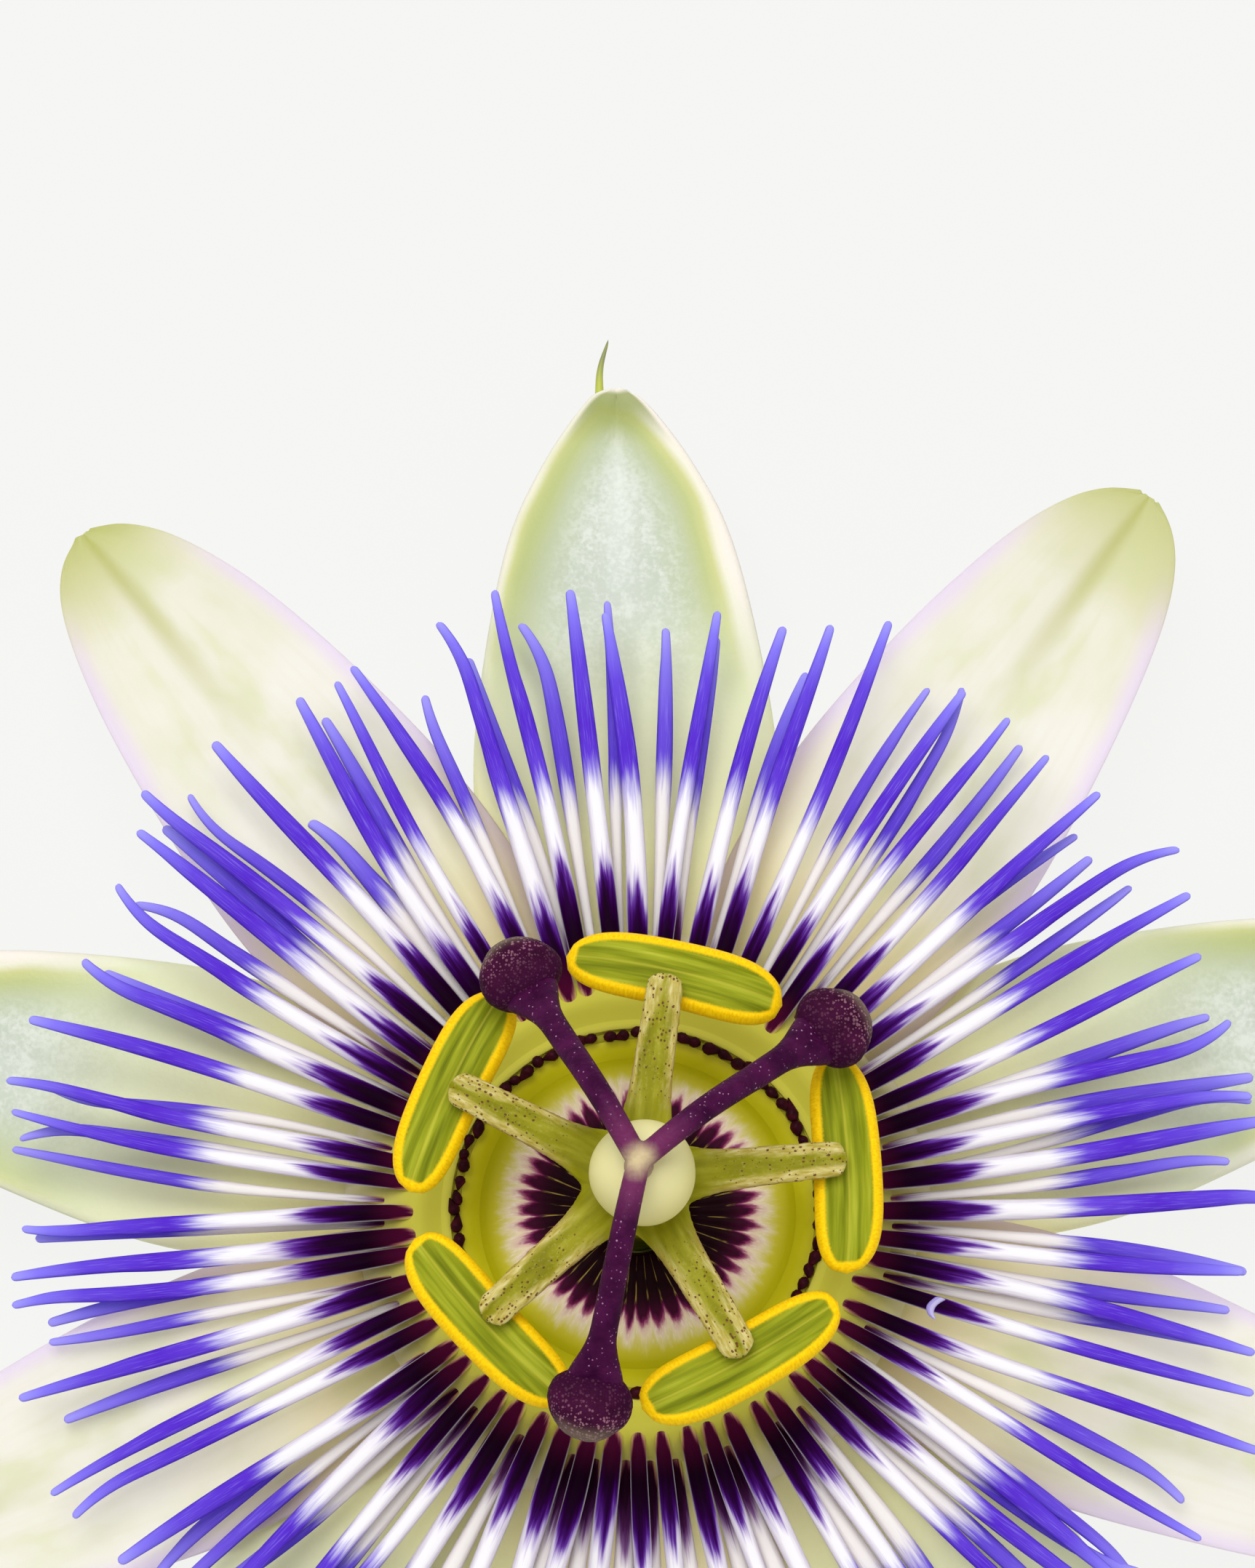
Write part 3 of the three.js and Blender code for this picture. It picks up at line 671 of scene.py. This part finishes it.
# each thread ends round, and a fringe of fine pale hairs goes on from there
frayed = add("Math", streak, 1, radius, **timesPlus)
wedgeSquare = add("Math", fromMiddle, 2, operation="POWER")
wedge = add("Math", wedgeSquare, 3.2, frayed, **timesPlus)
fringeShare = add("MapRange", wedge, 6.1, 8.3, **straight)
fringe = add("ValToRGB", fringeShare, {0: "#3C0828", 0.12: "#6E1A4C", 0.23: "#A8607C", 0.33: "#DCBCAC",
    0.5: "#E8D6B8", 0.72: "#E0D298", 1: "#D0C45E"})
hairs = add("TexNoise", streakPlace, 7, 2)
hairShare = add("MapRange", hairs, 0.48, 0.75, 0, 0.5)
hairsHere = add("MapRange", wedge, 6.4, 6.8)
haired = add("Mix", add("Math", hairShare, hairsHere, **times), fringe, "#F4EBDE")
frilled = add("Mix", add("MapRange", wedge, 5.95, 6.2), thread, haired)
outEdge = add("MapRange", add("Math", streak, 1.2, radius, **timesPlus), 7, 8)
apron = add("ValToRGB", add("MapRange", radius, 6.6, 8.1, **straight),
    {0: "#DCD078", 0.4: "#C4BA34", 0.8: "#AEA70A", 1: "#AEA708"})
colour = add("Mix", outEdge, frilled, apron)
finishSkin(operculumSkin, colour, streak, 0.4, 0.1)

low, high = [corner.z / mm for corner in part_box("operculum")]
crest = high - low
rim = discTop - low
bm = spun(6 * operculum["threads"], [(2.4, 0), (2.36, 0.22), (3.3, 0.3), (4.2, 0.4), (5, 0.5), (5.6, 0.6),
    (6.05, crest - 0.22), (6.4, 0.48), (6.75, 0.22), (7.05, 0), (7.35, rim + 0.14), (7.65, rim + 0.02),
    (7.95, rim - 0.11), (8.2, rim - 0.25), (8.4, rim - 0.42), (8, rim - 0.5), (7.2, rim - 0.2), (6.6, -0.1),
    (5.5, 0.1), (4, 0), (2.4, 0)], low)
for v in bm.verts:  # a shallow ridge for each thread
    out = v.co.xy.length
    wave = cos(operculum["threads"] * atan2(v.co.y, v.co.x))
    v.co.z += operculum["ridge"] * wave * ease(2.4, 3.2, out) * (1 - ease(6, 6.6, out))
finishPiece("operculumMembrane", bm, ["operculum"], operculumSkin)

# Stamen skin: smooth olive-green flesh. Tan on the ridges and tips, with small maroon specks.
stamenSkin, add = newMaterial("stamenSkin", 0.45, 0.1)
grain, across, _, out = readGrain(add)
side = add("Math", across, **absolute)
stretched = add("Mapping", grain, Scale=(1, 1, 0.22))
soft = add("TexNoise", stretched, 2, 4)
streak = add("TexNoise", stretched, 7, 3)
green = add("ValToRGB", soft, {0.3: "#787404", 0.5: "#8A860A", 0.72: "#9E9A26"})
tanGrown = add("Math", soft, 1.1, side, **timesPlus)
tanMore = add("MapRange", out, 6, 10.4, 0, 0.45)
ridge = add("MapRange", add("Math", tanGrown, tanMore, **plus), 0.95, 1.45)
tanOut = add("MapRange", out, 2.8, 5.5)
tanShare = add("Math", ridge, tanOut, **times)
tan = add("ValToRGB", streak, {0.35: "#A8963E", 0.5: "#BEAE60", 0.7: "#D4C88C"})
tanned = add("Mix", tanShare, green, tan)
flecks = add("TexNoise", grain, 6.5, 3)
streakShare = add("MapRange", flecks, 0.52, 0.75, 0, 0.3)
streaked = add("Mix", add("Math", streakShare, tanOut, **times), tanned, "#BEB262")
# a brown line along both sides: partly the arm's own rim colour, partly painted shade where the arm rounds
# away
sideLineAndShade = add("MapRange", side, 0.86, 1, 0, 0.6)
lined = add("Mix", add("Math", sideLineAndShade, tanOut, **times), streaked, "#8C6A34")
specks = add("TexVoronoi", add("Mapping", grain, Scale=(1, 1, 0.8)), 5.4)
speckGrow = add("MapRange", out, 3, 8.5, 0.2, 0.42, **straight)
speckPick = add("Math", add("SeparateXYZ", specks.outputs["Color"]), speckGrow, **times)
speckEdge = add("Math", specks.outputs["Distance"], speckPick, **minus)
speckShare = add("MapRange", speckEdge, 0.04, -0.05, 0, 0.9)
speckOut = add("MapRange", out, 3.2, 4.6)
colour = add("Mix", add("Math", speckShare, speckOut, **times), lined, "#5E301C")
finishSkin(stamenSkin, colour, soft, 0.15, 0.1)

stamen = {"azimuths": [82, 153.5, 223.5, 300, 5], "reach": 10.4, "thick": 0.85, "voxel": 0.13,
          "neck": {"radius1": 0.4, "radius2": 0.6, "depth": 0.8}}
anther = {"twists": [-5, 2, -1, -1, -2], "length": 11.1, "width": 3.4, "thick": 1.6, "bow": 0.35,
          "out": 10.3, "slips": [(0.25, -0.4), (0, 0), (0, 0), (0, 0), (0, 0)]}
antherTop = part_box("anther_1")[1].z / mm
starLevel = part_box("ovary")[0].z / mm - 0.3 - stamen["thick"] / 2
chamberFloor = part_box("androgynophore")[0].z / mm


def armShape(share, side, up):
    out = share * (stamen["reach"] - 0.4)
    spread = 2.6 * exp(-((out - 0.6) / 1.9) ** 2)  # webbed to its neighbours at the foot
    half = 0.5 * curveAt([(2.5,), (2.42,), (2.25,), (2.1,), (2,), (1.9,)], share)[0] + 0.35 * spread
    lobe = 0.36 * (1 - (abs(side) - 0.45) ** 2 * 2.2) * ease(0.9, 1, share)
    groove = -0.15 * exp(-(side / 0.3) ** 2) * ease(0.4, 0.95, share) if up > 0 else 0
    thick = 0.5 * stamen["thick"] * (1 - 0.18 * share)
    if side == 0 and up == 0:
        half = 0
    if share > 0.999 and (side, up) != (0, 0):
        half *= 0.9
        thick *= 0.6
    height = starLevel + 0.15 + 0.55 * ease(0.2, 1, share)
    return (out + lobe, side * half, height + up * thick + groove), (0, 0, 0)


floor = chamberFloor - starLevel
bm = spun(40, [(0, floor), (1.55, floor), (1.4, floor + 1.5), (1.35, floor + 3.5), (1.4, -2.2), (1.7, -1.2),
    (2.4, -0.4), (2.9, 0.05), (2.6, 0.38), (1.6, 0.42), (0, 0.42)], starLevel)
armTemplate = rod(24, 20)
shapeRod(armTemplate, armTemplate.verts, armShape)
armMesh = toMesh(armTemplate, "arm")
for azimuth in stamen["azimuths"]:
    turnAll(bm, addCopy(bm, armMesh), radians(azimuth))
bpy.data.meshes.remove(armMesh)
for azimuth in stamen["azimuths"]:  # a short neck under each tip holds the anther
    turn = Matrix.Rotation(radians(azimuth), 4, "Z")
    bmesh.ops.create_cone(bm, cap_ends=True, segments=16, **stamen["neck"],
                          matrix=turn @ Matrix.Translation((anther["out"] - 0.4, 0, antherTop + 0.3)))
bmesh.ops.recalc_face_normals(bm, faces=bm.faces)
blended(bm, stamen["voxel"], 4)
grain = layer(bm, "grain")
for v in bm.verts:  # each point takes its grain from the nearest filament
    arms = [Matrix.Rotation(-radians(azimuth), 3, "Z") @ v.co for azimuth in stamen["azimuths"]]
    nearest = min(range(5), key=lambda k: abs(atan2(arms[k].y, arms[k].x)))
    own = arms[nearest]
    along = own.x if v.co.z > starLevel - 1 else 0.5
    v[grain] = (own.y, own.z - starLevel + 30 * nearest, along)
finishPiece("columnAndStamens", bm, ["androgynophore"], stamenSkin)
print("column and stamens made")

# Anther skin: a ribbed green back with thin lighter lines, and powdery yellow pollen round the rim and below
antherSkin, add = newMaterial("antherSkin", 0.6, 0.12, ior=1.4)
rim, up = readGrain(add)[1:3]
surface, across = readGrain(add, "across")[:2]
streak = add("TexNoise", add("Mapping", surface, Scale=(4.5, 1, 0.16)), 1, 3)
green = add("ValToRGB", streak, {0.3: "#626A02", 0.43: "#7A820C", 0.56: "#92981A", 0.75: "#B0B434"})
side = add("Math", across, **absolute)
lined = add("Mix", add("MapRange", side, 0.06, 0, 0, 0.5), green, "#BEB63C")
pollenGrit = add("TexNoise", surface, 9, 3)
pollen = add("ValToRGB", pollenGrit, {0.3: "#EEB800", 0.5: "#FACA02", 0.7: "#FFD814"})
rimShare = add("MapRange", add("Math", pollenGrit, 0.2, rim, **timesPlus), 0.72, 0.52)
below = add("MapRange", up, 0.05, -0.15)
yellowShare = add("Math", rimShare, below, operation="MAXIMUM")
colour = add("Mix", yellowShare, lined, pollen)
bumpHeight = add("Mix", yellowShare, streak, pollenGrit, data_type="FLOAT")
finishSkin(antherSkin, colour, bumpHeight, 0.15, 0.08)


def antherShape(twist, slip, share, side, up):
    along = 2 * share - 1
    swell = max(0, 1 - abs(along) ** 4.4) ** 0.5 * (1 - 0.05 * along)
    top = up > 0
    ribs = 0.05 * cos(side * 15) * (1 - side * side) * swell if top else 0
    deep, wide = (0.14, 0.09) if top else (0.3, 0.25)
    crease = -deep * exp(-(side / wide) ** 2) * swell
    outwards = anther["bow"] * (1 - along * along) - anther["bow"] / 2
    half = side * swell * anther["width"] / 2
    rim = min((1 - abs(side)) * swell * anther["width"] / 2, (1 - abs(along)) * anther["length"] / 2)
    shoulder = 0.1 * exp(-((rim - 0.3) / 0.16) ** 2) if top else 0  # a soft pollen bead round the rim
    flatUp = copysign(abs(up) ** 0.75, up) * swell * anther["thick"] / 2
    spot = Vector((outwards + half, along * anther["length"] / 2, flatUp + ribs + crease + shoulder))
    turned = Matrix.Rotation(radians(twist), 3, "Z") @ spot
    middle = Vector((anther["out"] + slip[0], slip[1], antherTop - anther["thick"] / 2))
    return turned + middle, (rim, up, side * swell)


for i, azimuth in enumerate(stamen["azimuths"]):
    bm = rod(48, 48)
    shapeRod(bm, bm.verts, partial(antherShape, anther["twists"][i], anther["slips"][i]))
    grain = layer(bm, "grain")
    across = layer(bm, "across")
    unturned = Matrix.Rotation(-radians(anther["twists"][i]), 3, "Z")
    for v in bm.verts:
        v[across] = (v[grain].z, i * 5, (unturned @ v.co).y)
    finishPiece(f"anther{i + 1}", bm, [f"anther_{i + 1}"], antherSkin, azimuth)
print("anthers made")

# Ovary skin: smooth, waxy and pale yellow-green, with painted shade darker low down round its foot and
# painted light towards its top
ovarySkin, add = newMaterial("ovarySkin", 0.4, 0.2, **{"Subsurface Weight": 0.25,
    "Subsurface Scale": 0.0008, "Subsurface Radius": (1, 0.9, 0.5)})
ovaryLow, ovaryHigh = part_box("ovary")
place = add("TexCoord").outputs["Object"]
rise = add("MapRange", add("SeparateXYZ", place).outputs[2], ovaryLow.z, ovaryHigh.z, **straight)
waxy = add("TexNoise", place, 500, 3)
# the colour follows the height: painted shade low down and painted light on top, with a waxy mottle over it
mottleAndShade = add("Math", waxy, 0.16, rise, **timesPlus)
colour = add("ValToRGB", mottleAndShade, {0.06: "#BAB356", 0.25: "#D8D182", 0.5: "#E4DD94", 1: "#E8E1A6"})
finishSkin(ovarySkin, colour, waxy, 0.1, 0.1)

ovary = {"furrows": 3, "depth": 0.012, "aside": (0.25, -0.25, 0)}
ovaryFoot, ovaryTall = ovaryLow.z / mm, (ovaryHigh.z - ovaryLow.z) / mm
bm = spun(48, [(0, 0), (1.2, 0), (1.7, 0.1 / ovaryTall), (2.2, 0.13), (2.56, 0.24), (2.7, 0.38),
    (2.62, 0.53), (2.3, 0.7), (1.78, 0.84), (1.1, 0.94), (0.5, 0.985), (0, 1)], ovaryFoot, ovaryTall)
for v in bm.verts:  # faint furrows where its parts meet
    v.co.xy *= 1 - ovary["depth"] * (1 + cos(ovary["furrows"] * atan2(v.co.y, v.co.x)))
bmesh.ops.translate(bm, vec=ovary["aside"], verts=bm.verts)
finishPiece("ovaryBody", bm, ["ovary"], ovarySkin, 0, 1)


# Style skin: satin purple with fine pale specks, redder near the foot and whitish where the three meet.
# Stigma skin: the same flesh, matt and covered with pale grains, paler and browner round its outer side.
def purpleSkin(name, roughness, dark, light, speckScale, speckSize, stigmaLike):
    material, add = newMaterial(name, roughness, 0.06)
    outwards, lip, fromFoot = readGrain(add)[1:]
    place = add("Mapping", add("TexCoord").outputs["Object"], Scale=(1000, 1000, 1000))
    soft = add("TexNoise", place, 0.9, 3)
    tint = add("ValToRGB", soft, {0.35: dark, 0.68: light})
    specks = add("TexVoronoi", place, speckScale)
    pick = add("Math", add("SeparateXYZ", specks.outputs["Color"]), speckSize, **times)
    edge = add("Math", specks.outputs["Distance"], pick, **minus)
    speckShare = add("MapRange", edge, 0.05, -0.1, 0, 0.75)
    if stigmaLike:
        outShare = add("MapRange", add("Math", soft, 0.5, outwards, **timesPlus), 0.1, 1.15, 0.12)
        speckHere = add("Math", speckShare, outShare, **times)
        necked = add("Mix", add("MapRange", outwards, 0.15, -0.5, 0, 0.85), tint, "#33062A")
        specked = add("Mix", speckHere, necked, "#A87888")
        colour = add("Mix", add("MapRange", lip, 0, 1, 0, 0.85, **straight), specked, "#8A7E66")
    else:
        specked = add("Mix", speckShare, tint, "#B890B0")
        reddened = add("Mix", add("MapRange", fromFoot, 3.6, 1.2, 0, 0.8), specked, "#74305C")
        patchy = add("Math", soft, 0.8, fromFoot, **timesPlus)
        colour = add("Mix", add("MapRange", patchy, 1.6, 0.5, 0, 0.95), reddened, "#CDBB90")
    finishSkin(material, colour, specks.outputs["Distance"], 0.5, 0.08)
    return material


styleSkin = purpleSkin("styleSkin", 0.42, "#33062D", "#4A123F", 4.4, 0.24, False)
stigmaSkin = purpleSkin("stigmaSkin", 0.6, "#300524", "#440F34", 7, 0.6, True)

style = {"azimuths": [120.6, 36.8, 258.6], "reaches": [11.5, 12.1, 11.8], "radius": 0.66, "voxel": 0.11,
         "foot": Vector((0.05, -0.5, 0))}
stigma = {"length": 3.7, "width": 4.25, "height": 3, "drop": 0.4}
styleLevel = ovaryHigh.z / mm + 0.3 + 0.68


def styleHeight(share):
    return styleLevel + 0.7 * sin(pi * min(1, 1.6 * share)) - 4.4 * share ** 2.2


def styleShape(end, share, side, up):  # flares where it flows into its stigma
    flare = 0.78 * ease(0.74, 1, share) ** 1.6
    radius = style["radius"] * (0.88 + 0.2 * share) + flare
    if side == 0 and up == 0:
        radius = 0
    furrow = 1 - 0.22 * exp(-(side / 0.3) ** 2) * ease(0.6, 0.85, share) if up > 0 else 1
    height = styleHeight(share) - 0.42 * ease(0.78, 1, share) + up * (radius - 0.35 * flare) * furrow
    return (share * end, side * radius, height), (0, 0, 0)


bm = bmesh.new()
bmesh.ops.create_uvsphere(bm, u_segments=24, v_segments=14, radius=0.95 * style["radius"],
                          matrix=Matrix.Translation(style["foot"] + Vector((0, 0, styleLevel))))
bmesh.ops.create_cone(bm, cap_ends=True, segments=24, radius1=0.75, radius2=0.6, depth=1.1,
                      matrix=Matrix.Translation(style["foot"] + Vector((0, 0, styleLevel - 0.58))))
for azimuth, reach in zip(style["azimuths"], style["reaches"]):
    template = rod(40, 24)
    shapeRod(template, template.verts, partial(styleShape, reach - 0.25 * stigma["length"]))
    turnAll(template, template.verts, radians(azimuth))
    for v in template.verts:  # the three meet a little to one side of the axis
        v.co += style["foot"] * (1 - v.co.xy.length / reach)
    mesh = toMesh(template, "style")
    bm.from_mesh(mesh)
    bpy.data.meshes.remove(mesh)
bmesh.ops.recalc_face_normals(bm, faces=bm.faces)
blended(bm, style["voxel"], 3)
grain = layer(bm, "grain")
for v in bm.verts:
    v[grain] = (0, 0, (v.co - style["foot"]).to_2d().length)
finishPiece("threeStyles", bm, ["styles"], styleSkin)


def stigmaShape(reach, co):
    bulge = 1 + 0.03 * cos(3 * atan2(co.y, co.x))
    bulge += 0.04 * noise.noise(co * 1.8 + Vector((reach, 0, 0)))
    bulge += 0.012 * noise.noise(co * 9 + Vector((0, reach, 0)))
    inner = 1 - 0.12 * max(0, -co.x) ** 2
    saddle = 1 - 0.12 * max(0, co.z) * (1 - co.x * co.x)
    return Vector((reach + co.x * bulge * stigma["length"] / 2, co.y * bulge * inner * stigma["width"] / 2,
                   styleHeight(1) - stigma["drop"] + co.z * saddle * bulge * stigma["height"] / 2))


for i, (azimuth, reach) in enumerate(zip(style["azimuths"], style["reaches"])):
    bm = bmesh.new()
    bmesh.ops.create_icosphere(bm, subdivisions=5, radius=1)
    grain = layer(bm, "grain")
    for v in bm.verts:
        lip = 0.7 * ease(0.45, 1.05, v.co.x) * ease(0.85, 0.4, v.co.z) * ease(-0.9, 0.1, v.co.z)
        v[grain] = (v.co.x, lip, 0)
        v.co = stigmaShape(reach, v.co)
    finishPiece(f"stigma{i + 1}", bm, [f"stigma_{i + 1}"], stigmaSkin, azimuth)
print("ovary, styles and stigmas made")

# Leaf skin: soft green leaf with a net of paler veins. Stalk skin: the same green, with a pale cut end.
leafSkin, add = newMaterial("leafSkin", 0.5)
across, _, out = readGrain(add)[1:]
place = add("TexCoord").outputs["Object"]
cells = add("TexVoronoi", place, 1100, feature="DISTANCE_TO_EDGE")
mottle = add("TexNoise", place, 300, 3)
green = add("ValToRGB", mottle, {0.35: "#6F8F3E", 0.65: "#8AA854"})
netted = add("Mix", add("MapRange", cells, 0.06, 0, 0, 0.45), green, "#A9BF74")
side = add("Math", across, **absolute)
slant = add("Math", side, -3, out, **timesPlus)
sideVeins = add("Math", add("Math", slant, 0.45, **times), operation="FRACT")
sideVein = add("MapRange", sideVeins, 0.12, 0, 0, 0.6)
midrib = add("MapRange", side, 0.07, 0, 0, 0.9)
colour = add("Mix", add("Math", sideVein, midrib, operation="MAXIMUM"), netted, "#B6C684")
finishSkin(leafSkin, colour, cells, 0.4, 0.1, through=0.2)

bract = {"azimuths": [100, 220, 340], "foot": 2.2, "reach": 18, "half": 5.6, "level": 3.7, "thickness": 0.3}


def bractShape(i, share, side):
    foot, half = bract["foot"], bract["half"]
    span = bract["reach"] - foot
    outline = [(foot, 1.3), (foot + 0.18 * span, 0.72 * half), (foot + 0.42 * span, half),
               (foot + 0.7 * span, 0.72 * half), (foot + 0.9 * span, 0.28 * half), (bract["reach"], 0.15)]
    distance, wide = curveAt(outline, 1 - (1 - share) ** 1.2)
    t = min(max(((distance - foot) / span - 0.12) / 0.88, 0), 1)
    fall = t * t * t * (t * (6 * t - 15) + 10)
    lift = 0.25 * side * side * wide * ease(foot, 9, distance)
    ripple = 0.12 * abs(side) * sin(distance * 1.4 + i) * ease(foot, 8, distance) * (1 - fall)
    rib = -0.1 * exp(-(side / 0.09) ** 2) * (1 - fall)
    height = bract["level"] * (1 - fall) + 0.2 * fall + lift + ripple + rib
    return (distance, side * wide, height), (1 - abs(side)) * wide


for i, azimuth in enumerate(bract["azimuths"]):
    bm = blade(26, 14, partial(bractShape, i))
    finishPiece(f"bract{i + 1}", bm, [f"bract_{i + 1}"], leafSkin, azimuth, 1, bract["thickness"])

stalkSkin, add = newMaterial("stalkSkin", 0.5)
centred, _, radius = readAxis(add)
fibres = add("TexNoise", add("Mapping", centred, Scale=(3000, 3000, 250)), 1, 3)
green = add("ValToRGB", fibres, {0.35: "#7C9644", 0.65: "#9DB262"})
pith = add("ValToRGB", add("MapRange", radius, 0, 0.0013, **straight),
    {0: "#E9ECC8", 0.5: "#DDE3B0", 0.62: "#B4C278", 0.8: "#CDD698", 1: "#8FA552"})
atEnd = add("MapRange", add("SeparateXYZ", centred).outputs[2], 0.00012, 0.00002, **straight)
colour = add("Mix", atEnd, green, pith)
finishSkin(stalkSkin, colour, fibres, 0.3, 0.1)
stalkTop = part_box("peduncle")[1].z / mm
bm = spun(32, [(0, 0), (1.15, 0), (1.3, 0.12), (1.28, 0.5), (1.3, 1.6), (1.34, 2.6), (1.6, 3.5),
    (1.9, stalkTop - 0.5), (1.8, stalkTop - 0.1), (1.6, stalkTop), (0, stalkTop)])
finishPiece("stalk", bm, ["peduncle"], stalkSkin, 0, 1)
print("bracts and stalk made")

# Table: a plain pale light table, which lights the petals from below and takes hardly any shadow
table = {"colour": "#F5F5F3", "radius": 8, "glow": 0.94}
tableFinish, _ = newMaterial("paleTable", 0.9, 0, ior=1.5, **{"Base Color": (0.05, 0.05, 0.05, 1),
    "Emission Color": linear(table["colour"]), "Emission Strength": table["glow"]})
bm = bmesh.new()
bmesh.ops.create_circle(bm, cap_ends=True, segments=96, radius=table["radius"])
tableTop = toScene("table", toMesh(bm, "table"))
tableTop.data.materials.append(tableFinish)

studio = {"colour": "#F5F5F3", "strength": 0.6}
world = bpy.data.worlds.new("studio")
world.use_nodes = True
background = world.node_tree.nodes["Background"]
background.inputs["Color"].default_value = linear(studio["colour"])
background.inputs["Strength"].default_value = studio["strength"]
bpy.context.scene.world = world
bpy.context.scene.view_settings.view_transform = "Standard"

lamps = {"key": {"place": (-0.1, 0.2, 0.72), "size": 0.5, "power": 4.1},
         "fill": {"place": (0.35, -0.3, 0.5), "size": 0.4, "power": 0.5}}
for name, lamp in lamps.items():
    light = toScene(name, bpy.data.lights.new(name, "AREA"))
    light.data.size = lamp["size"]
    light.data.energy = lamp["power"]
    light.location = lamp["place"]
    light.rotation_euler = (-Vector(lamp["place"])).to_track_quat("-Z", "Y").to_euler()

# the height and the distance south are in mm from the beads
view = {"lens": 135, "sensor": 36, "height": 295, "south": 54.7, "shift": (-0.0065, 0.2715)}
aim = flowerAxis + Vector((0, 0, (discTop + 0.7) * mm))
eye = aim + Vector((0, -view["south"] * mm, view["height"] * mm))
camera = toScene("camera", bpy.data.cameras.new("camera"))
camera.data.lens = view["lens"]
camera.data.sensor_fit = "VERTICAL"
camera.data.sensor_height = view["sensor"]
camera.data.shift_x, camera.data.shift_y = view["shift"]
camera.data.clip_start = 0.01
camera.location = eye
camera.rotation_euler = (aim - eye).to_track_quat("-Z", "Y").to_euler()
bpy.context.scene.camera = camera

print("stage, lights and camera set")
